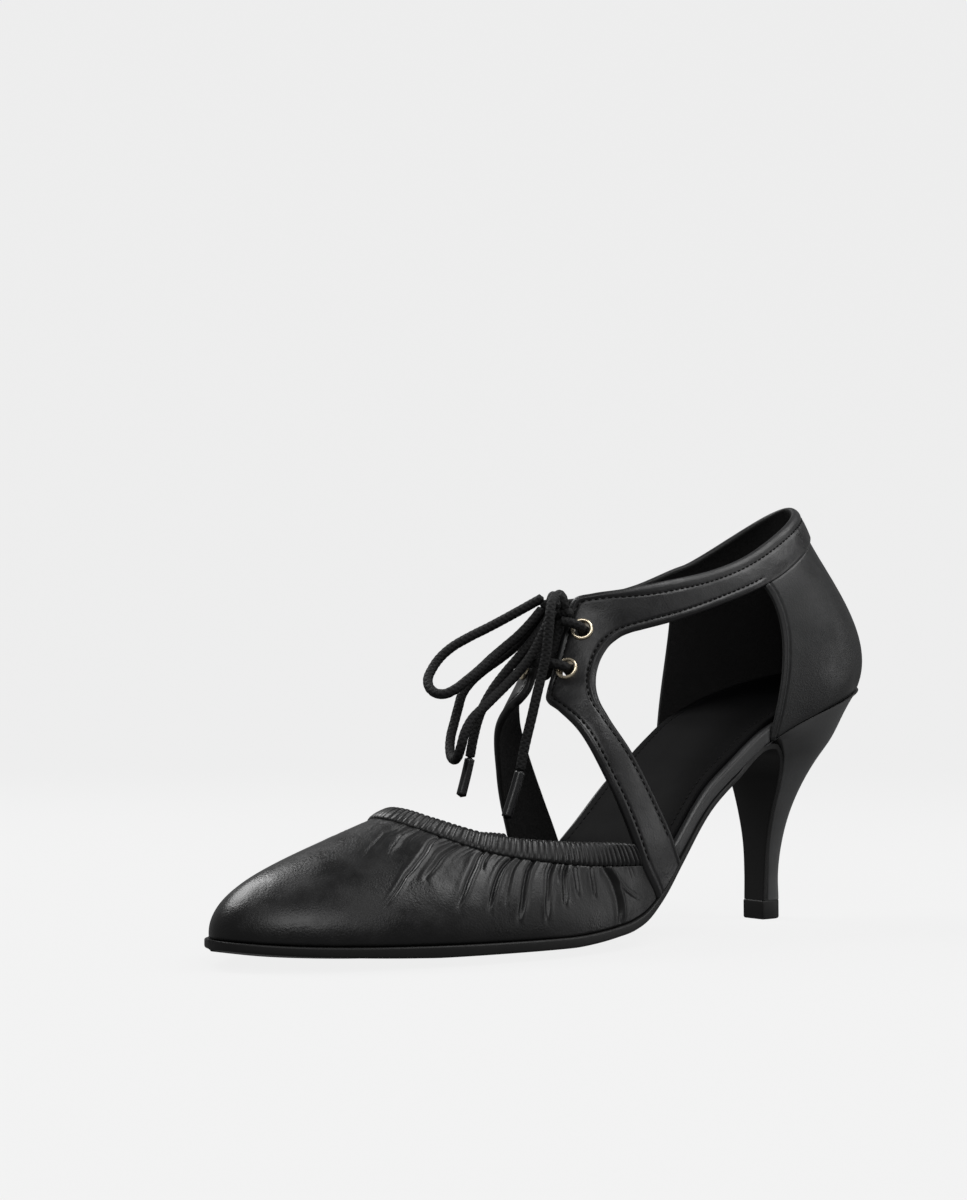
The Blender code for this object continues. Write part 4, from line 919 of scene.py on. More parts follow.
def panel(name, grids, flips, fields, lift, edge_round, finish):
    """Leather panel: outer face, lining and rounded edges over grids of base points."""
    base, quads, fields = weld(grids, flips, fields)
    push = fields.pop("push")[:, None]
    normals = quad_normals(base, quads)
    count = len(base)
    outer = base + normals * (lift + push)
    inner = base - normals * UPPER_WALL
    pairs = np.vstack([quads[:, [k, (k + 1) % 4]] for k in range(4)])
    known = set(map(tuple, pairs))
    rim = np.array([pair for pair in pairs if (pair[1], pair[0]) not in known])
    outward = np.zeros_like(base)
    run = unit(base[rim[:, 1]] - base[rim[:, 0]])
    for end in (0, 1):
        np.add.at(outward, rim[:, end], np.cross(run, normals[rim[:, end]]))
    edge_ids = np.unique(rim)
    slot = np.zeros(count, int)
    slot[edge_ids] = np.arange(len(edge_ids))
    aside = unit(outward[edge_ids])
    middle = (outer[edge_ids] + inner[edge_ids]) / 2
    half = (outer[edge_ids] - inner[edge_ids]) / 2
    points = [outer, inner]
    lining = [np.zeros(count), np.ones(count)]
    rings = [lambda ids: ids]
    size = 2 * count
    for turn, lined in ((0.25, 0.0), (0.5, 0.0), (0.75, 1.0)):
        angle = math.pi * turn
        points.append(middle + half * math.cos(angle) + aside * edge_round * math.sin(angle))
        lining.append(np.full(len(edge_ids), lined))
        rings.append(lambda ids, start=size: start + slot[ids])
        size += len(edge_ids)
    rings.append(lambda ids: count + ids)
    polygons = [quads, count + quads[:, ::-1]]
    a, b = rim[:, 0], rim[:, 1]
    for upper, lower in zip(rings, rings[1:]):
        polygons.append(np.stack([upper(b), upper(a), lower(a), lower(b)], axis=1))
    spread = {key: np.concatenate([v, v, *[v[edge_ids]] * 3]) for key, v in fields.items()}
    spread["lining"] = np.concatenate(lining)
    return new_piece(name, np.vstack(points), np.vstack(polygons), finish, spread)


def fold_push(side, stations, shares, spacing, run):
    """Height of the vamp's creases and puckers, in millimetres, on a grid of columns."""
    push = np.zeros(stations.shape)
    shift = CREASE_MEDIAL["shift"] if side == "medial" else 0.0
    ease = 1 - CREASE_EASE["share"] * eased(shares, CREASE_EASE["from"], 1.0)
    for number, (way, half, depth, lip) in enumerate(CREASES):
        way = np.array(way)[::-1]
        low = way[0, 1]
        centre = smooth(way[:, 1], way[:, 0], np.clip(shares, low, 1.0))[:, 0]
        centre = centre + shift * math.sin(CREASE_MEDIAL["wave"] * number)
        fade = eased(shares, low + CREASE_FADE[0], low + CREASE_FADE[1]) * ease
        d = lip * (stations - centre) * spacing / half
        valley = np.exp(-(abs(d) ** CREASE["power"])) - bell(d, *CREASE["lip"]) - bell(d, *CREASE["swell"])
        push -= CREASE["gain"] * depth * fade * valley
    run = run[:, None]
    wander = sum(size * np.sin(run * rate + start) for size, rate, start in PUCKER_WANDER)
    first, second = (np.sin(run * rate + start) for rate, start in PUCKER_REACH)
    reach = PUCKER["reach"] + PUCKER["uneven"] * first * second
    wave = abs(np.sin(run * math.pi / PUCKER["pitch"] + wander)) ** PUCKER["power"] - PUCKER["level"]
    push += PUCKER["depth"] * wave * eased(shares[None, :], reach, 1.0) * eased(stations, *PUCKER_START)
    return push * eased(1 - stations, *FOLDS_END)


@functools.lru_cache(maxsize=None)
def vamp_grid(side):
    """Stations, shares, points and millimetres per station of the vamp's columns on one side."""
    shares = np.linspace(0, 1, VAMP_ROWS)
    spine = np.linspace(0, THROAT_STATION, VAMP_COLUMNS["spine"])
    columns = np.concatenate([spine, np.linspace(THROAT_STATION, 1, VAMP_COLUMNS["throat"])[1:]])
    lean = smooth(VAMP_LEAN["station"], VAMP_LEAN["lean"], columns)
    stations = columns[:, None] - lean * (1 - shares)
    known = np.unique(np.append(np.linspace(0, 1, VAMP_RIBS), THROAT_STATION))
    ribs = np.array([vamp_rib(side, station, shares) for station in known])
    stretch = np.linalg.norm(np.gradient(ribs, known, axis=0), axis=2)
    points = np.empty((*stations.shape, 3))
    spacing = np.empty(stations.shape)
    for row in range(VAMP_ROWS):
        at = stations[:, row]
        spacing[:, row] = np.interp(at, known, stretch[:, row])
        for axis in range(3):
            points[:, row, axis] = np.interp(at, known, ribs[:, row, axis])
    return stations, shares, points, spacing


def band_grid(side):
    """Points of the band on one side, from the feather edge to the back seam, and their running lengths."""
    share = BAND_CUTS["edge_share"]
    edge = np.linspace(0, share, BAND_CUTS["edge"])
    middle = np.linspace(share, 1 - share, BAND_CUTS["middle"])[1:-1]
    across = np.concatenate([edge, middle, 1 - edge[::-1]])
    knots = band_knots()
    _, shares, vamp, _ = vamp_grid(side)
    low = knots[BIND_ROW] * shares
    rest = np.linspace(knots[BIND_ROW], knots[-1], BAND_CUTS["rows"])[1:]
    grid = [band_section(side, at, across, start) for at, start in zip(low, vamp[-1])]
    grid = np.array(grid + [band_section(side, at, across) for at in rest])
    grid[-1] = band_section("lateral", knots[-1], across)
    grid[-1, :, 1] = 0.0
    return grid, np.concatenate([low, rest])


def collar_turn():
    """Running length of the band where it starts to turn round the heel."""
    return band_at(len(BAND["crown"]) - 1)


def counter_grid(side):
    """Points of the counter on one side, from its front edge to the back seam."""
    ribs = np.linspace(0, 1, COUNTER_CUTS["up"])
    share = COUNTER_CUTS["edge_share"]
    shares = np.linspace(0, share, COUNTER_CUTS["edge"])
    shares = np.concatenate([shares, np.linspace(share, 1, COUNTER_CUTS["rest"])[1:]])
    turn = collar_turn()
    back = band_knots()[-1]
    grid = []
    for share in shares:
        top, bottom = band_section(side if share < 1 else "lateral", turn + (back - turn) * share, [0, 1])
        grid.append(counter_rib(side, share, bottom, unit(top - bottom), ribs))
    grid = np.array(grid)
    grid[-1, :, 1] = 0.0
    return grid


def edge_margins(grid):
    """Distances in millimetres of each point of a strip from its first and its last long edge."""
    from_first = chord_knots(np.swapaxes(grid, 0, 1)).T
    return from_first, from_first[:, -1:] - from_first


def hem(margin, seam):
    """Relief of a sewn edge: puffed up beside the edge and pressed in along the seam."""
    depth, width = HEM_SEAM
    return bell(margin, HEM_PUFF, seam / 2, seam / 4) - bell(margin, depth, seam, width)


def turned_edge(margin):
    """Relief of the turned edge itself."""
    depth, width = TURNED_EDGE
    return -depth * (1 - eased(margin, 0.0, width))


def collar_share(run):
    """0 along the strap and facing, 1 along the collar, at running lengths of the band."""
    return eased(run, *map(band_at, COLLAR_ROWS))


def panel_leather(kind, colour, roughness, leather):
    """Leather of one kind of panel."""
    return leather_finish(kind + "_leather", colour, roughness, SWELL_SHARE[kind] * leather.swell, leather)


def make_vamp(leather):
    """Gathered vamp of both sides."""
    grids, fields = [], []
    for side in SIDES:
        stations, shares, points, spacing = vamp_grid(side)
        grids.append(on_side(side, points))
        fields.append({"push": fold_push(side, stations, shares, spacing, chord_knots(points[:, -1]))})
    finish = panel_leather("vamp", leather.colour, leather.roughness, leather)
    piece = panel("upper_vamp", grids, (False, True), fields, 0.0, EDGE_ROUND["vamp"], finish)
    return seat_piece(piece, "upper_leather", "upper")


def make_straps(leather, stitch):
    """Straps, facings and collar band with their eyelet holes."""
    grids, fields = [], []
    inset = stitch.inset / MM
    turn = collar_turn()
    for side in SIDES:
        grid, run = band_grid(side)
        front, rear = edge_margins(grid)
        strap = 1 - eased(run, *(turn + HEM_ENDS))
        push = hem(front, inset + collar_share(run)[:, None]) + hem(rear, inset) * strap[:, None]
        grids.append(on_side(side, grid))
        fields.append({"push": push + turned_edge(np.minimum(front, rear))})
    # Painted light: the straps' leather is the vamp's colour made lighter.
    finish = panel_leather("strap", darker(leather.colour, STRAP_PAINTED_LIGHT), leather.roughness, leather)
    piece = panel("upper_straps", grids, (True, False), fields, BAND_LIFT, EDGE_ROUND["strap"], finish)
    cutters = []
    for name, (place, normal) in eyelet_frames().items():
        cutter = cylinder("hole_" + name, place, normal, EYELET_HOLE, EYELET_CUTTER, finish)
        cut = piece.modifiers.new(cutter.name, "BOOLEAN")
        cut.operation = "DIFFERENCE"
        cut.solver = "EXACT"
        cut.object = cutter
        cutters.append(cutter)
    applied(piece)
    for cutter in cutters:
        bpy.data.objects.remove(cutter)
    return seat_piece(piece, "upper_leather", "upper")


def make_counter(leather):
    """Smooth counter round the heel."""
    grids, fields = [], []
    for side in SIDES:
        grid = counter_grid(side)
        margin = chord_knots(grid)
        push = bell(margin, *COUNTER_PIPING) - bell(margin, *COUNTER_GROOVE) + turned_edge(margin)
        grids.append(on_side(side, grid))
        fields.append({"push": push})
    rough = leather.roughness + COUNTER_DULLER
    finish = panel_leather("counter", leather.counter_colour, rough, leather)
    piece = panel("upper_counter", grids, (False, True), fields, 0.0, EDGE_ROUND["counter"], finish)
    return seat_piece(piece, "upper_leather", "upper")


def spokes(axis, count):
    """Unit vectors square to an axis, evenly round it."""
    first = unit(np.cross(axis, UP))
    second = np.cross(axis, first)
    angles = 2 * math.pi * np.arange(count) / count
    return np.outer(np.cos(angles), first) + np.outer(np.sin(angles), second)


def ring_faces(rows, count, closed=False):
    """Quads between rings of points that follow each other, and back to the first ring if closed."""
    ids = np.arange(rows * count).reshape(rows, count)
    beside = np.roll(ids, -1, axis=1)
    quads = np.stack([ids, beside, np.roll(beside, -1, axis=0), np.roll(ids, -1, axis=0)], axis=2)
    return (quads if closed else quads[:-1]).reshape(-1, 4).tolist()


def capped_faces(rows, count):
    """Quads between rings, with the end rings as flat faces."""
    first = list(range(count))
    return ring_faces(rows, count) + [first[::-1], [k + (rows - 1) * count for k in first]]


def fanned_faces(rows, count):
    """Quads between rings, with the end rings fanned to two points that come after all rings."""
    first = np.arange(count)
    beside = np.roll(first, -1)
    last = (rows - 1) * count
    hub = np.full(count, rows * count)
    fans = np.vstack([np.stack([beside, first, hub], 1), np.stack([last + first, last + beside, hub + 1], 1)])
    return ring_faces(rows, count) + fans.tolist()


def cylinder(name, place, axis, radius, reach, finish):
    """Closed cylinder that reaches as far on both sides of a place."""
    rays = place + spokes(axis, RING_SIDES) * radius
    points = np.vstack([rays - axis * reach, rays + axis * reach])
    made = new_piece(name, points, capped_faces(2, RING_SIDES), finish)
    outward_faces(made)
    return made


def outward_faces(piece):
    """Turns the faces of a closed piece outward."""
    work = bmesh.new()
    work.from_mesh(piece.data)
    bmesh.ops.recalc_face_normals(work, faces=work.faces)
    work.to_mesh(piece.data)
    work.free()


def eyelet_profile(metal):
    """Closed (radius, height) outline of a rolled eyelet; the strap's outer face is at 0."""
    under = -UPPER_WALL - BAND_LIFT
    bore = metal.bore / MM
    flange = metal.flange / MM
    barrel = bore + EYELET_ROLL["barrel"]

    def roll(count, first, last):
        angles = np.linspace(first, last, count)
        return zip((bore + flange) / 2 + (flange - bore) / 2 * np.cos(angles), abs(np.sin(angles)))

    rim = roll(EYELET_CUTS["front"], math.pi, 0.0)
    outline = [(r, EYELET_ROLL["foot"] + EYELET_ROLL["rise"] * up ** EYELET_ROLL["power"]) for r, up in rim]
    outline += [(flange, EYELET_ROLL["skirt"]), (barrel, 0.0), (barrel, under)]
    lap = under - EYELET_ROLL["lap"]
    back = roll(EYELET_CUTS["back"], 0.0, math.pi)
    return outline + [(r, lap - EYELET_ROLL["back"] * up) for r, up in back]


def eyelet_frames():
    """Place and outward normal of each eyelet, by side and level."""
    frames = {}
    for side in SIDES:
        for level, (row, share) in EYELETS.items():
            frames[f"{side}_{level}"] = band_point(side, band_at(row), share, BAND_LIFT)
    return frames


def make_eyelets(metal):
    """Four rolled eyelets of the facings."""
    finish = worn_finish("pale_gold", metal.colour, **METAL_LOOK)
    outline = eyelet_profile(metal)
    faces = ring_faces(RING_SIDES, len(outline), closed=True)
    for name, (place, normal) in eyelet_frames().items():
        points = []
        for spoke in spokes(normal, RING_SIDES):
            points += [place + spoke * radius + normal * along for radius, along in outline]
        piece = new_piece("rolled_eyelet_" + name, points, faces, finish)
        outward_faces(piece)
        seat_piece(piece, "eyelet_metal", "eyelet_" + name)


def socketed_tree(name, inputs):
    """Geometry tree with named inputs; gives its nodes, its input node's outputs and the inputs' keys."""
    tree = bpy.data.node_groups.new(name, "GeometryNodeTree")
    tree.interface.new_socket("Geometry", in_out="INPUT", socket_type="NodeSocketGeometry")
    keys = {}
    for label, kind in inputs.items():
        keys[label] = tree.interface.new_socket(label, in_out="INPUT", socket_type=kind).identifier
    tree.interface.new_socket("Geometry", in_out="OUTPUT", socket_type="NodeSocketGeometry")
    nodes = Nodes(tree)
    source = tree.nodes.new("NodeGroupInput")
    wires = {socket.name: Wire(nodes, socket) for socket in source.outputs if socket.name}
    return nodes, wires, keys


def close_tree(nodes, geometry, finish):
    """Realised shape with its finish as the tree's result."""
    real = nodes.add("GeometryNodeRealizeInstances", {}, {0: geometry})
    done = nodes.add("GeometryNodeSetMaterial", {}, {"Geometry": real, "Material": finish})
    sink = nodes.tree.nodes.new("NodeGroupOutput")
    nodes.plug(sink.inputs[0], done)


@functools.lru_cache(maxsize=None)
def stitch_tree():
    """Tree that sews stitches along the edges of a mesh."""
    inputs = dict.fromkeys(("Pitch", "Length", "Radius"), "NodeSocketFloat")
    nodes, wires, keys = socketed_tree("stitch_rows", {**inputs, "Thread": "NodeSocketMaterial"})
    curve = nodes.add("GeometryNodeMeshToCurve", {}, {0: wires["Geometry"]})
    spread = nodes.tree.nodes.new("GeometryNodeCurveToPoints")
    spread.mode = "LENGTH"
    nodes.plug(spread.inputs["Curve"], curve)
    nodes.plug(spread.inputs["Length"], wires["Pitch"])
    sizes = {"Segments": 8, "Rings": 5, "Radius": wires["Radius"]}
    ball = nodes.add("GeometryNodeMeshUVSphere", {}, sizes, out="Mesh")
    stretch = wires["Length"] / (wires["Radius"] * 2.0)
    shape = nodes.add("ShaderNodeCombineXYZ", {}, {0: 1.0, 1: 1.0, 2: stretch})
    rod = nodes.add("GeometryNodeTransform", {}, {"Geometry": ball, "Scale": shape})
    rod = nodes.add("GeometryNodeSetShadeSmooth", {}, {0: rod})
    sockets = {name: Wire(nodes, spread.outputs[name]) for name in ("Points", "Rotation")}
    sewn = nodes.add("GeometryNodeInstanceOnPoints", {}, {**sockets, "Instance": rod})
    close_tree(nodes, sewn, wires["Thread"])
    return nodes.tree, keys


def run_tree(piece, tree, keys, values):
    """Runs a geometry tree on a piece and keeps the plain mesh."""
    modifier = piece.modifiers.new(tree.name, "NODES")
    modifier.node_group = tree
    for label, value in values.items():
        modifier[keys[label]] = value
    return applied(piece)


def sew(name, lines, stitch, slot):
    """Rows of stitches along lines of points in millimetres."""
    points, edges = [], []
    for line in lines:
        edges += [(len(points) + k, len(points) + k + 1) for k in range(len(line) - 1)]
        points += [tuple(np.asarray(p) * MM) for p in line]
    mesh = bpy.data.meshes.new(name)
    mesh.from_pydata(points, edges, [])
    piece = bpy.data.objects.new(name, mesh)
    bpy.context.scene.collection.objects.link(piece)
    thread = worn_finish(name + "_thread", stitch.colour, **THREAD_LOOK)
    tree, keys = stitch_tree()
    values = {"Pitch": stitch.pitch, "Length": stitch.length, "Radius": stitch.radius, "Thread": thread}
    run_tree(piece, tree, keys, values)
    return seat_piece(piece, slot)


def strap_lines(stitch):
    """Stitch lines on both sides: near the band's front edge, and near its rear edge up to the counter."""
    lines = []
    knots = band_knots()
    for side in SIDES:
        for edge, stop in (("front", knots[-1]), ("rear", collar_turn() - STITCH_LINE["margin"])):
            line = []
            for at in np.arange(knots[BIND_ROW] + STITCH_LINE["margin"], stop, STITCH_LINE["step"]):
                here = band_values(side, at)[0]
                width = np.linalg.norm(here[3:6] - here[:3])
                inset = stitch.inset / MM + (collar_share(at) if edge == "front" else 0.0)
                share = inset / width if edge == "front" else 1 - inset / width
                line.append(band_point(side, at, share, BAND_LIFT - STITCH_SINK["strap"])[0])
            lines.append(line)
    return lines


def tube(route, radius, sides, relief=0.0):
    """Points, faces and lay of a closed tube along a route, with an optional braid relief."""
    run = chord_knots(route)
    tangents = unit(np.gradient(route, axis=0))
    steep = abs(tangents[0][2]) >= 0.9
    side = unit(np.cross(tangents[0], np.array([1.0, 0.0, 0.0]) if steep else UP))
    angles = 2 * math.pi * np.arange(sides) / sides
    points, lay = [], []
    for place, length, tangent in zip(route, run, tangents):
        side = unit(side - tangent * np.dot(side, tangent))
        right = np.sin(BRAID["rate"] * length + BRAID["strands"] * angles)
        left = np.sin(BRAID["rate"] * length - BRAID["strands"] * angles)
        radii = radius + relief * (np.maximum(right, left) - 0.5)
        ring = np.outer(np.cos(angles) * radii, side)
        points.append(place + ring + np.outer(np.sin(angles) * radii, np.cross(tangent, side)))
        lay.append(np.column_stack([np.full(sides, length), angles / (2 * math.pi)]))
    bulge = radius * CORD_END
    points += [route[0] - tangents[0] * bulge, route[-1] + tangents[-1] * bulge]
    lay += [[run[0], 0.5], [run[-1], 0.5]]
    return np.vstack(points), fanned_faces(len(route), sides), np.vstack(lay)


def cord_piece(name, tubes, finish):
    """Piece of one or more tubes, with their lay as a UV map that closes round each face."""
    points, polygons, lays = [], [], []
    start = 0
    for some, faces, lay in tubes:
        points.append(some)
        lays.append(lay)
        polygons += [[start + k for k in face] for face in faces]
        start += len(some)
    piece = new_piece(name, np.vstack(points), polygons, finish)
    corners = np.array([loop.vertex_index for loop in piece.data.loops])
    uv = np.vstack(lays)[corners]
    for face in piece.data.polygons:
        ids = list(face.loop_indices)
        turns = uv[ids, 1]
        if turns.max() - turns.min() > 0.6:
            uv[ids, 1] = np.where(turns < 0.4, turns + 1.0, turns)
    piece.data.uv_layers.new(name="lay").data.foreach_set("uv", uv.reshape(-1))
    return piece


def lace_bar_route():
    """Lace through the eyelets: knot, upper eyelet, across inside, lower eyelet, bar outside, and back up."""
    frames = eyelet_frames()

    def at(eyelet, along):
        place, normal = frames[eyelet]
        return place + normal * along

    def outside(eyelet, towards):
        near = at(eyelet, LACE_STAND_OFF)
        return near + unit(towards - near) * BAR_REACH

    starts = {side: KNOT_CENTRE + BAR_ENDS[side] for side in SIDES}
    middle = sum(at(eyelet, -LACE_INSIDE) for eyelet in frames) / len(frames)
    depth = unit(sum(normal for _, normal in frames.values()))
    bar = (at("lateral_lower", LACE_STAND_OFF) + at("medial_lower", LACE_STAND_OFF)) / 2 + BAR_BOW
    route = [starts["lateral"], outside("lateral_upper", starts["lateral"])]
    route += [at("lateral_upper", along) for along in BAR_THROUGH]
    route.append(middle + depth * BAR_CROSS)
    route += [at("medial_lower", along) for along in BAR_THROUGH[::-1]]
    route += [outside("medial_lower", bar), bar, outside("lateral_lower", bar)]
    route += [at("lateral_lower", along) for along in BAR_THROUGH]
    route.append(middle - depth * BAR_CROSS)
    route += [at("medial_upper", along) for along in BAR_THROUGH[::-1]]
    return route + [outside("medial_upper", starts["medial"]), starts["medial"]]


def knot_routes():
    """Turns of cord that make the knot: two wraps round the strands, and strands over and under them."""
    way = unit(KNOT_WAY)
    first = unit(np.cross(way, UP))
    second = np.cross(way, first)
    angles = np.linspace(0, 2 * math.pi, CORD_CUTS["wrap"])
    wide, tall, slant = KNOT_WRAP_SIZE
    ring = np.outer(np.cos(angles), first) * wide + np.outer(np.sin(angles), second) * tall
    routes = []
    for shift, lean in KNOT_WRAPS:
        rise = np.sin(angles + lean) * slant
        routes.append(KNOT_CENTRE + ring + np.outer(shift + rise, way))
    routes += [even_points(KNOT_CENTRE + np.array(strand), CORD_CUTS["knot_step"]) for strand in KNOT_STRANDS]
    return routes


def make_laces(lace):
    """Lace through the eyelets, its knot, loops, ends and tips."""
    finish = cord_finish("lace_braid", lace.colour)
    shine = worn_finish("lace_tip_shell", lace.tip_colour, **TIP_LOOK)

    def cord(name, node, paths):
        size = lace.diameter / MM / 2, CORD_CUTS["round"], lace.braid_depth / MM
        return seat_piece(cord_piece(name, [tube(path, *size) for path in paths], finish), "lace_cord", node)

    step = CORD_CUTS["step"]
    cord("lace_run", "lace_bars", [even_points(route, step) for route in (lace_bar_route(), KNOT_STEM)])
    cord("lace_bow_knot", "lace_knot", knot_routes())
    for name, route in LACE_TIPS.items():
        shell = tube(even_points(route, TIP_CUTS["step"]), TIP_RADIUS, TIP_CUTS["round"])
        seat_piece(cord_piece(name + "_shell", [shell], shine), "lace_tip", name)
    for name, route in LACE_ROUTES.items():
        path = even_points(route, step)
        piece = cord(name + "_cord", name, [path])
        spine = even_points(route, chord_knots(path)[-1] / CORD_CUTS["path"]) * MM
        tuple(spine[0])
        float(chord_knots(spine)[-1])
        [tuple(p) for p in spine]


def binding_rings():
    """Rings of the binding from its lateral end to its medial end, and how full its pleats are there."""
    stations = np.linspace(THROAT_STATION, BINDING_END, BINDING_CUTS["along"])
    angles = 2 * math.pi * (np.arange(BINDING_CUTS["round"]) + 0.5) / BINDING_CUTS["round"]
    across, deep = (np.sign(wave) * abs(wave) ** BINDING_ROUND for wave in (np.cos(angles), np.sin(angles)))
    on = BINDING_GAP - BINDING_LAP + (BINDING_WIDTH + BINDING_LAP) * (1 + across) / 2
    out = (BINDING_OUTSIDE - BINDING_INSIDE) / 2 + (BINDING_OUTSIDE + BINDING_INSIDE) / 2 * deep
    rings, full = [], []
    for side, order in (("lateral", stations[::-1]), ("medial", stations[1:])):
        for station in order:
            edge, run, normal = throat_frame(side, station)
            rings.append(on_side(side, edge + np.outer(on, run) + np.outer(out, normal)))
            full.append(eased(station, THROAT_STATION, THROAT_STATION + PLEAT_START["run"]))
    return np.array(rings), PLEAT_START["least"] + (1 - PLEAT_START["least"]) * np.array(full)


def pleat_tree():
    """Tree that presses pleats into the binding along its length."""
    inputs = dict.fromkeys(("Pitch", "Depth", "Seed"), "NodeSocketFloat")
    nodes, wires, keys = socketed_tree("binding_pleats", {**inputs, "Leather": "NodeSocketMaterial"})
    along, share = (
        nodes.add("GeometryNodeInputNamedAttribute", {"data_type": "FLOAT"}, {"Name": name})
        for name in ("along", "pleat")
    )
    way = nodes.add("ShaderNodeCombineXYZ", {}, {0: along * PLEAT["noise"]})
    sockets = {"Vector": way, "W": wires["Seed"], "Scale": 1.0}
    wander = nodes.add("ShaderNodeTexNoise", {"noise_dimensions": "4D"}, sockets)
    phase = along / wires["Pitch"] + wander * PLEAT["wander"]
    wave = (phase * math.pi).maths("SINE").maths("ABSOLUTE") ** PLEAT["power"]
    rise = (wave - 1.0) * wires["Depth"] * share * (PLEAT["least"] + PLEAT["uneven"] * wander)
    normal = nodes.add("GeometryNodeInputNormal")
    offset = nodes.add("ShaderNodeVectorMath", {"operation": "SCALE"}, {0: normal, "Scale": rise})
    moved = nodes.add("GeometryNodeSetPosition", {}, {"Geometry": wires["Geometry"], "Offset": offset})
    close_tree(nodes, moved, wires["Leather"])
    return nodes.tree, keys


def make_binding(binding, leather):
    """Gathered elastic binding round the throat, pleated along its length."""
    rings, full = binding_rings()
    rows, sides = rings.shape[:2]
    fields = {
        "along": np.repeat(chord_knots(rings.mean(axis=1)), sides) * MM,
        "pleat": np.repeat(full, sides),
        "lining": np.zeros(rows * sides),
    }
    finish = panel_leather("binding", leather.colour, leather.roughness, leather)
    piece = new_piece("gathered_binding", rings.reshape(-1, 3), capped_faces(rows, sides), finish, fields)
    outward_faces(piece)
    values = {"Pitch": binding.pitch, "Depth": binding.depth, "Seed": float(binding.seed), "Leather": finish}
    run_tree(piece, *pleat_tree(), values)
    return seat_piece(piece, "binding", "throat_binding")


def graded(start, stop, count):
    """Stations that crowd towards the start."""
    return start + (stop - start) * np.linspace(0, 1, count) ** 2


def loft(name, rings, finish):
    """Closed piece through rings of equal count, with each end closed by a fan."""
    rings = np.asarray(rings, float)
    points = np.vstack([rings.reshape(-1, 3), rings[0].mean(axis=0), rings[-1].mean(axis=0)])
    piece = new_piece(name, points, fanned_faces(*rings.shape[:2]), finish)
    outward_faces(piece)
    piece.data.set_sharp_from_angle(angle=SHARP_FROM)
    return piece


def edge_profile(half, thickness, rounds):
    """Rounded edge of a layer as (y, height), from its lower face to its upper one."""
    low, high = (min(size, ROUND_LIMIT["up"] * thickness, ROUND_LIMIT["in"] * half) for size in rounds)
    turn = np.linspace(0, math.pi / 2, LAYER_CUTS["round"])
    lower = np.column_stack([half - low * (1 - np.sin(turn)), low * (1 - np.cos(turn))])
    upper = np.column_stack([half - high * (1 - np.cos(turn)), thickness - high * (1 - np.sin(turn))])
    return np.vstack([lower, upper])


def layer_ring(low, high, halves, rounds, dome=0.0, seam=0.0):
    """Ring across a layer between two (x, z) points: domed below, rounded at its edges, a seam on top."""
    low, high = np.array(low, float), np.array(high, float)
    thickness = np.linalg.norm(high - low)
    shares = np.linspace(-1, 1, LAYER_CUTS["across"])[1:-1]
    edges = [edge_profile(half, thickness, rounds) for half in halves]
    reach = np.where(shares > 0, edges[1][0, 0], edges[0][0, 0])
    drop = dome * (1 - np.clip((abs(shares) - SOLE_FLAT) / (1 - SOLE_FLAT), 0, 1)) ** SOLE_DOME_FALL
    ring = [np.column_stack([shares * reach, -drop])]
    insets = seam + np.array(SEAM_DIP["aside"]) if seam else np.array(LAYER_TOP["insets"])
    dips = np.array(SEAM_DIP["deep"]) if seam else np.zeros(len(insets))
    for sign, half, edge in ((1, halves[1], edges[1]), (-1, halves[0], edges[0])):
        scale = min(1.0, LAYER_TOP["most"] * half / (insets[-1] + LAYER_TOP["room"]))
        top = np.column_stack([half - insets * scale, thickness - dips * scale])
        column = np.vstack([edge, top, [[LAYER_TOP["middle"] * half, thickness]]]) * (sign, 1)
        ring.append(column if sign > 0 else column[::-1])
    y, rise = np.vstack(ring).T
    x = low[0] + (high[0] - low[0]) * rise / thickness
    z = low[1] + (high[1] - low[1]) * rise / thickness
    x = np.where(rise < 0, low[0], x)
    z = np.where(rise < 0, low[1] + rise, z)
    return np.column_stack([x, y, z])


def sole_rings():
    """Rings of the sole from the toe back to the waist, then down the flap."""
    toe = graded(SOLE_TOE, SOLE_TOE_END, SOLE_CUTS["toe"])
    stations = np.concatenate([toe, np.linspace(SOLE_TOE_END, SOLE_WAIST_END, SOLE_CUTS["waist"])[1:]])
    xs = feather("lateral")[0]
    change = SOLE_MARGIN["waist"] - SOLE_MARGIN["forefoot"]
    shift = SOLE_MARGIN["forefoot"] + change * eased(xs, *SOLE_NARROWS)
    shift = shift - SOLE_WAIST_THIN["edge"] * eased(xs, SOLE_WAIST_THIN["from"], SOLE_WAIST_END)
    halves = [half_width(side, stations, shift) for side in SIDES]
    tread = height("tread", stations)
    tread = tread + SOLE_WAIST_THIN["tread"] * eased(stations, SOLE_WAIST_THIN["from"], SOLE_WAIST_END)
    seat = height("seat", stations) + LAYER_FILL
    rounds = np.ones((len(stations), 2)) * SOLE_ROUNDS["sole"]
    columns = [stations, tread, stations, seat, *halves, height("dome", stations)]
    rows = np.column_stack([*columns, rounds])
    path = np.column_stack([FLAP["x"], FLAP["z"]])
    along = unit(np.gradient(path, axis=0))
    inner = path + np.column_stack([-along[:, 1], along[:, 0]]) * (FLAP_THICKNESS + FLAP_FILL)
    edges = np.ones((len(path), 2)) * SOLE_ROUNDS["flap"]
    flap = np.column_stack([path, inner, FLAP["half"], FLAP["half"], np.zeros(len(path)), edges])
    tail = np.vstack([rows[-4::3], flap])
    knots = chord_knots(tail[:, :2])
    down = smooth(knots, tail, np.linspace(knots[1], knots[-1], SOLE_CUTS["flap"])[1:])
    return [layer_ring(row[:2], row[2:4], row[4:6], row[7:], row[6]) for row in np.vstack([rows, down])]


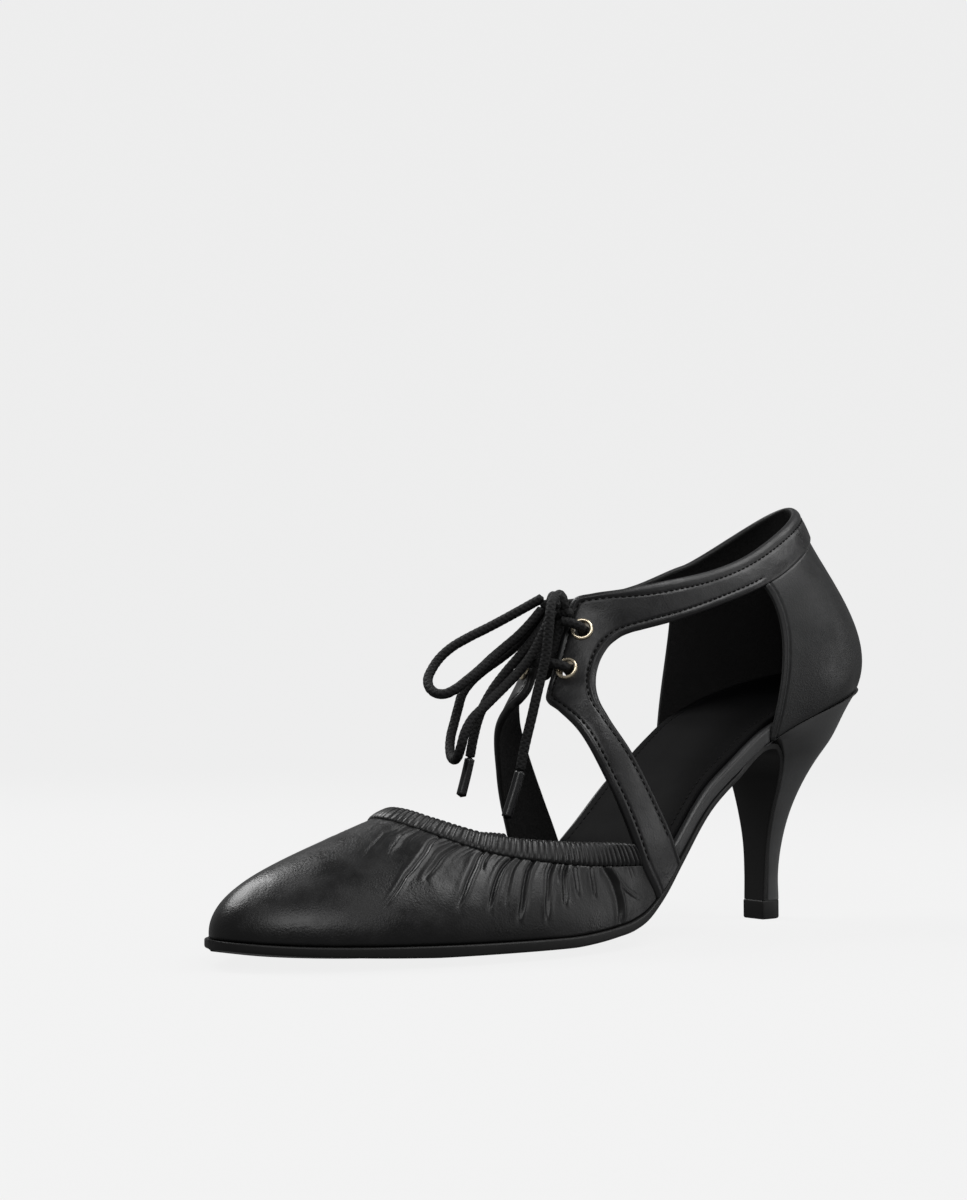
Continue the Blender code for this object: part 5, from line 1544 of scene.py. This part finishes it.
def heel_half(front_half, widest_half, shares):
    """Half widths along a heel section, from its front edge to its back."""
    swell = np.sin(np.clip(shares / HEEL_WIDEST, 0, 1) * math.pi / 2)
    ahead = front_half + (widest_half - front_half) * swell
    behind = np.clip((shares - HEEL_WIDEST) / (1 - HEEL_WIDEST), 0, 1)
    return np.where(shares < HEEL_WIDEST, ahead, widest_half * np.sqrt(1 - behind**HEEL_ROUND))


def heel_ring(row):
    """Ring round the heel for a row of its table: front face, rounded front corners, sides and back."""
    front_x, front_z, back_x, back_z, front_half, widest_half = row
    length = back_x - front_x
    corner = HEEL_CORNER / length
    turn = np.linspace(0, math.pi / 2, HEEL_CUTS["corner"])
    face = np.linspace(0, 1, HEEL_CUTS["face"])[:-1] * (front_half - HEEL_CORNER)
    side = corner + (1 - corner) * np.sin(np.linspace(0, math.pi / 2, HEEL_CUTS["side"]))[1:]
    shares = np.concatenate([0 * face, corner * (1 - np.cos(turn)), side])
    bend = front_half - HEEL_CORNER * (1 - np.sin(turn))
    halves = np.concatenate([face, bend, heel_half(front_half, widest_half, side)])
    x = front_x + length * shares
    z = front_z + (back_z - front_z) * shares
    medial = np.column_stack([x, halves, z])[1:-1]
    return np.vstack([np.column_stack([x, -halves, z]), medial[::-1]])


def heel_rings():
    """Rings of the heel from the wearing piece up to the seat."""
    rows = np.column_stack(list(HEEL.values()))
    knots = chord_knots((rows[:, :2] + rows[:, 2:4]) / 2)
    rings = []
    for at in np.linspace(0, knots[-1], HEEL_CUTS["up"]):
        ring = heel_ring(smooth(knots, rows, at)[0])
        share = np.clip((at - knots[-4]) / (knots[-1] - knots[-4]), 0, 1) ** 2
        ring[:, 2] += share * (height("seat", ring[:, 0]) - ring[:, 2])
        rings.append(ring)
    return rings


def top_piece_rings():
    """Rings of the wearing piece from the ground up."""
    front, back, front_half, half = TOP_PIECE.values()
    rings = []
    for z, shrink in TOP_PIECE_LEVELS:
        rings.append(heel_ring((front + shrink, z, back - shrink, z, front_half - shrink, half - shrink)))
    return rings


def board_inset(x):
    """Distance of the board's edge inside the feather line: less in the open waist than inside the upper."""
    open_waist = eased(x, *(STRAP_REAR_FOOT + WAIST_OPENS)) * (1 - eased(x, *(COUNTER_FOOT_X + WAIST_CLOSES)))
    return BOARD_INSET["covered"] + (BOARD_INSET["waist"] - BOARD_INSET["covered"]) * open_waist


def board_top(x):
    """Height of the board's upper face: the board is thin under the toes and full from the waist back."""
    change = BOARD_THICKNESS["waist"] - BOARD_THICKNESS["toe"]
    return height("seat", x) + LAYER_GAP + BOARD_THICKNESS["toe"] + change * eased(x, *BOARD_THICKENS)


def sock_top(x):
    """Height of the sock's upper face."""
    return board_top(x) + LAYER_GAP + SOCK_THICKNESS


def bed_layer(name, inset, low, high, rounds, finish, seam=0.0):
    """Layer of the foot bed, inset from the feather edge, between two heights that follow x."""
    xs, _, normals, _ = feather("lateral")
    toe, *_, back = xs - normals[:, 0] * inset
    front = graded(toe + LAYER_TIP, toe + LAYER_END, LAYER_CUTS["end"])
    rear = graded(back - LAYER_TIP, back - LAYER_END, LAYER_CUTS["end"])[::-1]
    middle = np.linspace(toe + LAYER_END, back - LAYER_END, LAYER_CUTS["middle"])[1:-1]
    stations = np.concatenate([front, middle, rear])
    halves = np.column_stack([half_width(side, stations, -inset) for side in SIDES])
    rings = []
    for x, below, above, half in zip(stations, low(stations), high(stations), halves):
        rings.append(layer_ring((x, below), (x, above), half, rounds, seam=seam))
    return loft(name, rings, finish)


def make_bottom(sole, leather):
    """Outsole, wrapped board, heel and wearing piece."""
    edge = sole_finish("sole_edge_black", sole.colour)
    # Painted light: the heel cover's colour is a lighter grey than the black leather, so the heel reads lit;
    # the board wrap takes this painted light scaled down.
    cover = cover_finish("heel_cover_leather", leather.heel_colour_with_painted_light, leather, roughness=0.42, shine=0.34)
    board_colour = darker(leather.heel_colour_with_painted_light, BOARD_SHADE)
    wrap = cover_finish("board_wrap_leather", board_colour, leather, roughness=0.46, shine=0.30)
    rubber = sole_finish("wearing_rubber", darker(sole.colour, RUBBER_SHADE))
    seat_piece(loft("sole", sole_rings(), edge), "sole_edge", "outsole")
    seat_piece(loft("covered_heel", heel_rings(), cover), "heel_cover", "heel")
    seat_piece(loft("wearing_piece", top_piece_rings(), rubber), "top_piece", "heel_top_piece")
    inset = board_inset(feather("lateral")[0])

    def under(x):
        return height("seat", x) + LAYER_GAP - LAYER_FILL

    board = bed_layer("wrapped_board", inset, under, board_top, SOLE_ROUNDS["board"], wrap)
    seat_piece(board, "board_wrap", "insole_board")


def make_sock(stitch, leather):
    """Sock on the board, with its stitched margin."""
    # Painted shade: the sock is darkened as if in shade inside the shoe.
    colour = darker(leather.colour, SOCK_PAINTED_SHADE)
    finish = cover_finish("sock_leather", colour, leather, roughness=0.62, shine=0.03)
    inset = SOCK_INSET * np.ones_like(feather("lateral")[0])

    def under(x):
        return board_top(x) + LAYER_GAP - LAYER_FILL

    piece = bed_layer("sock_lining", inset, under, sock_top, SOLE_ROUNDS["sock"], finish, SOCK_SEAM)
    seat_piece(piece, "sock", "insole")
    lines = []
    for side in SIDES:
        xs, ys, normals, _ = feather(side)
        x = xs - normals[:, 0] * (SOCK_INSET + SOCK_SEAM)
        y = ys - normals[:, 1] * (SOCK_INSET + SOCK_SEAM)
        keep = (x > SOCK_STITCH_FROM) & (y > SOCK_STITCH_ASIDE)
        lines.append(on_side(side, np.column_stack([x, y, sock_top(x) - STITCH_SINK["sock"]])[keep]))
    sew("sock_stitches", lines, stitch, "sock")


def area_light(name, place, target, size, power):
    """White soft box that faces a target."""
    lamp = bpy.data.lights.new(name, "AREA")
    lamp.shape = "RECTANGLE"
    lamp.size, lamp.size_y = size
    lamp.energy = power
    made = bpy.data.objects.new(name, lamp)
    bpy.context.scene.collection.objects.link(made)
    back = unit(np.array(place) - np.array(target))
    right = unit(np.cross(UP, back))
    columns = np.column_stack([right, np.cross(back, right), back, place])
    made.matrix_world = mathutils.Matrix([*columns.tolist(), [0.0, 0.0, 0.0, 1.0]])


def make_stage(stage):
    """Pale floor that sweeps up all round the shoe, soft boxes and the camera."""
    scene = bpy.context.scene
    lens = bpy.data.cameras.new("camera")
    lens.sensor_width = CAMERA_SENSOR
    lens.lens = CAMERA_FOCUS / CAMERA_HEIGHT * CAMERA_SENSOR
    lens.clip_start = 0.01
    eye = bpy.data.objects.new("camera", lens)
    scene.collection.objects.link(eye)
    scene.camera = eye
    eye.location = [c * MM for c in CAMERA_PLACE]
    eye.rotation_euler = (math.radians(90.0 + CAMERA_TILT), 0.0, math.radians(-CAMERA_TURN))

    look = Finish("pale_floor")
    tone = look.blend(look.noise(look.place(), 6.0), stage.floor_colour, darker(stage.floor_colour, 0.97))
    look.shade(Base_Color=tone, Roughness=0.95, Specular_IOR_Level=0.0)
    look.shade(Emission_Color=(1.0, 1.0, 1.0, 1.0), Emission_Strength=stage.floor_glow)
    turns = np.linspace(0, math.pi / 2, FLOOR_SWEEP_STEPS)
    sweep = FLOOR_RADIUS + FLOOR_SWEEP * np.sin(turns), FLOOR_SWEEP * (1 - np.cos(turns))
    profile = [(FLOOR_RADIUS / 2, 0.0), *zip(*sweep), (FLOOR_RADIUS + FLOOR_SWEEP, FLOOR_WALL)]
    angles = 2 * math.pi * np.arange(FLOOR_SIDES) / FLOOR_SIDES
    rays = np.column_stack([np.cos(angles), np.sin(angles), 0 * angles])
    points = np.vstack([rays * reach + UP * rise for reach, rise in profile] + [np.zeros(3)])
    hub = len(points) - 1
    quads = [quad[::-1] for quad in ring_faces(len(profile), FLOOR_SIDES)]
    middle = [[hub, k, (k + 1) % FLOOR_SIDES] for k in range(FLOOR_SIDES)]
    floor = new_piece("floor", points, quads + middle, look.material)
    floor.visible_diffuse = False
    floor.visible_glossy = False
    floor.visible_shadow = False

    world = bpy.data.worlds.new("studio")
    world.use_nodes = True
    back = world.node_tree.nodes["Background"]
    back.inputs["Color"].default_value = (*stage.sky_colour, 1.0)
    back.inputs["Strength"].default_value = stage.sky
    scene.world = world
    scene.view_settings.view_transform = "Standard"
    for name, box in SOFT_BOXES.items():
        area_light(name + "_box", *box, getattr(stage, name))


def colour_setting(name, what, default):
    """Colour of a surface."""
    return FloatVectorProperty(name=name, description="Colour of " + what, subtype="COLOR", default=default)


def length_setting(name, what, default):
    """Length in metres."""
    return FloatProperty(name=name, description=what, unit="LENGTH", default=default)


def share_setting(name, what, default):
    """Share from 0 to 1."""
    return FloatProperty(name=name, description=what, subtype="FACTOR", default=default, min=0.0, max=1.0)


def strength_setting(name, what, default):
    """Plain number."""
    return FloatProperty(name=name, description=what, default=default)


def power_setting(name, default):
    """Power of a soft box."""
    what = f"Power of the {name.lower()} soft box"
    return FloatProperty(name=name, description=what, unit="POWER", default=default)


class ShoeLeather(bpy.types.PropertyGroup):
    """Leather of the upper, heel and board."""

    colour: colour_setting("Leather", "the vamp and straps", (0.0040, 0.0040, 0.0042))
    counter_colour: colour_setting("Counter", "the counter", (0.0058, 0.0061, 0.0065))
    # Painted light: the heel's colour is raised above the black leather's own to stand in for light on the
    # heel.
    heel_colour_with_painted_light: colour_setting("Heel", "the heel cover and board", (0.055, 0.0556, 0.0565))
    lining: colour_setting("Lining", "the lining", (0.0045, 0.0044, 0.0044))
    roughness: share_setting("Roughness", "Roughness of the leather", 0.36)
    grain: length_setting("Grain", "Size of one grain cell", 0.0006)
    grain_depth: strength_setting("Grain depth", "Strength of the grain", 0.48)
    cloud: strength_setting("Cloud", "How far the gloss varies over the leather", 0.24)
    swell: strength_setting("Swell", "Strength of the soft unevenness", 0.34)
    shine: share_setting("Shine", "Strength of the leather's reflections", 0.30)


class ShoeBinding(bpy.types.PropertyGroup):
    """Pleats of the throat binding."""

    pitch: length_setting("Pitch", "Distance of two pleats", 0.00165)
    depth: length_setting("Depth", "Depth of a pleat", 0.00045)
    seed: IntProperty(name="Seed", description="Seed of the pleats' unevenness", default=7)


class ShoeStitch(bpy.types.PropertyGroup):
    """Sewing of straps, collar and sock."""

    pitch: length_setting("Pitch", "Distance of two stitches", 0.0020)
    length: length_setting("Length", "Length of a stitch", 0.00145)
    radius: length_setting("Radius", "Radius of the thread", 0.00027)
    inset: length_setting("Inset", "Distance from the edge", 0.0020)
    colour: colour_setting("Thread", "the thread", (0.004, 0.004, 0.004))


class ShoeLace(bpy.types.PropertyGroup):
    """Braided lace and its tips."""

    diameter: length_setting("Diameter", "Diameter of the lace", 0.0028)
    braid_depth: length_setting("Braid", "Relief of the braid", 0.00006)
    colour: colour_setting("Lace", "the lace", (0.006, 0.006, 0.0062))
    tip_colour: colour_setting("Tip", "the lace tips", (0.006, 0.006, 0.0065))


class ShoeMetal(bpy.types.PropertyGroup):
    """Eyelets."""

    bore: length_setting("Bore", "Inner radius of an eyelet", 0.0023)
    flange: length_setting("Flange", "Outer radius of an eyelet", 0.00325)
    colour: colour_setting("Metal", "the eyelets", (0.90, 0.78, 0.58))


class ShoeSole(bpy.types.PropertyGroup):
    """Outsole and wearing piece."""

    colour: colour_setting("Sole", "the sole's edge", (0.006, 0.006, 0.006))


class ShoeStage(bpy.types.PropertyGroup):
    """Floor and light."""

    floor_colour: colour_setting("Floor", "the floor", (0.04, 0.04, 0.04))
    floor_glow: strength_setting("Floor glow", "Even brightness of the floor", 0.84)
    sky_colour: colour_setting("Sky", "the even light", (1.0, 1.0, 1.0))
    sky: strength_setting("Even light", "Strength of the even light", 0.22)
    key: power_setting("Key", 10.0)
    front: power_setting("Front", 5.8)
    fill: power_setting("Fill", 1.0)
    side: power_setting("Side", 1.3)
    top: power_setting("Top", 6.5)


class SHOE_OT_stage(bpy.types.Operator):
    """Set up floor, light and camera"""

    bl_idname = "shoe.stage"
    bl_label = "Stage"

    def execute(self, context):
        make_stage(context.scene.shoe_stage)
        return {"FINISHED"}


class SHOE_OT_laces(bpy.types.Operator):
    """Make the lace, its bow and its tips"""

    bl_idname = "shoe.laces"
    bl_label = "Laces"

    def execute(self, context):
        make_laces(context.scene.shoe_lace)
        return {"FINISHED"}


class SHOE_OT_vamp(bpy.types.Operator):
    """Make the gathered vamp"""

    bl_idname = "shoe.vamp"
    bl_label = "Vamp"

    def execute(self, context):
        make_vamp(context.scene.shoe_leather)
        return {"FINISHED"}


class SHOE_OT_straps(bpy.types.Operator):
    """Make the straps, facings and collar"""

    bl_idname = "shoe.straps"
    bl_label = "Straps"

    def execute(self, context):
        make_straps(context.scene.shoe_leather, context.scene.shoe_stitch)
        return {"FINISHED"}


class SHOE_OT_counter(bpy.types.Operator):
    """Make the counter"""

    bl_idname = "shoe.counter"
    bl_label = "Counter"

    def execute(self, context):
        make_counter(context.scene.shoe_leather)
        return {"FINISHED"}


class SHOE_OT_binding(bpy.types.Operator):
    """Make the gathered binding of the throat"""

    bl_idname = "shoe.binding"
    bl_label = "Binding"

    def execute(self, context):
        make_binding(context.scene.shoe_binding, context.scene.shoe_leather)
        return {"FINISHED"}


class SHOE_OT_stitches(bpy.types.Operator):
    """Sew the straps and the collar"""

    bl_idname = "shoe.stitches"
    bl_label = "Stitches"

    def execute(self, context):
        stitch = context.scene.shoe_stitch
        sew("strap_stitches", strap_lines(stitch), stitch, "upper_leather")
        return {"FINISHED"}


class SHOE_OT_eyelets(bpy.types.Operator):
    """Make the eyelets"""

    bl_idname = "shoe.eyelets"
    bl_label = "Eyelets"

    def execute(self, context):
        make_eyelets(context.scene.shoe_metal)
        return {"FINISHED"}


class SHOE_OT_bottom(bpy.types.Operator):
    """Make outsole, board, heel and wearing piece"""

    bl_idname = "shoe.bottom"
    bl_label = "Bottom"

    def execute(self, context):
        make_bottom(context.scene.shoe_sole, context.scene.shoe_leather)
        return {"FINISHED"}


class SHOE_OT_sock(bpy.types.Operator):
    """Make the sock and its stitched margin"""

    bl_idname = "shoe.sock"
    bl_label = "Sock"

    def execute(self, context):
        make_sock(context.scene.shoe_stitch, context.scene.shoe_leather)
        return {"FINISHED"}


OPERATORS = (
    SHOE_OT_stage,
    SHOE_OT_laces,
    SHOE_OT_vamp,
    SHOE_OT_straps,
    SHOE_OT_counter,
    SHOE_OT_binding,
    SHOE_OT_stitches,
    SHOE_OT_eyelets,
    SHOE_OT_bottom,
    SHOE_OT_sock,
)


class SHOE_PT_pieces(bpy.types.Panel):
    """Pieces of the shoe"""

    bl_idname = "SHOE_PT_pieces"
    bl_label = "Court shoe"
    bl_space_type = "VIEW_3D"
    bl_region_type = "UI"
    bl_category = "Shoe"

    def draw(self, context):
        for operator in OPERATORS:
            self.layout.operator(operator.bl_idname)


SETTINGS = {
    "shoe_leather": ShoeLeather,
    "shoe_binding": ShoeBinding,
    "shoe_stitch": ShoeStitch,
    "shoe_lace": ShoeLace,
    "shoe_metal": ShoeMetal,
    "shoe_sole": ShoeSole,
    "shoe_stage": ShoeStage,
}


def register():
    """Adds the settings, operators and panel."""
    for name, group in SETTINGS.items():
        bpy.utils.register_class(group)
        setattr(bpy.types.Scene, name, PointerProperty(type=group))
    for made in (*OPERATORS, SHOE_PT_pieces):
        bpy.utils.register_class(made)


def unregister():
    """Takes them away again."""
    for made in (SHOE_PT_pieces, *reversed(OPERATORS)):
        bpy.utils.unregister_class(made)
    for name, group in reversed(SETTINGS.items()):
        delattr(bpy.types.Scene, name)
        bpy.utils.unregister_class(group)


def main():
    """Makes every piece in order."""
    register()
    for operator in OPERATORS:
        space, name = operator.bl_idname.split(".")
        getattr(getattr(bpy.ops, space), name)()


if __name__ == "__main__":
    main()
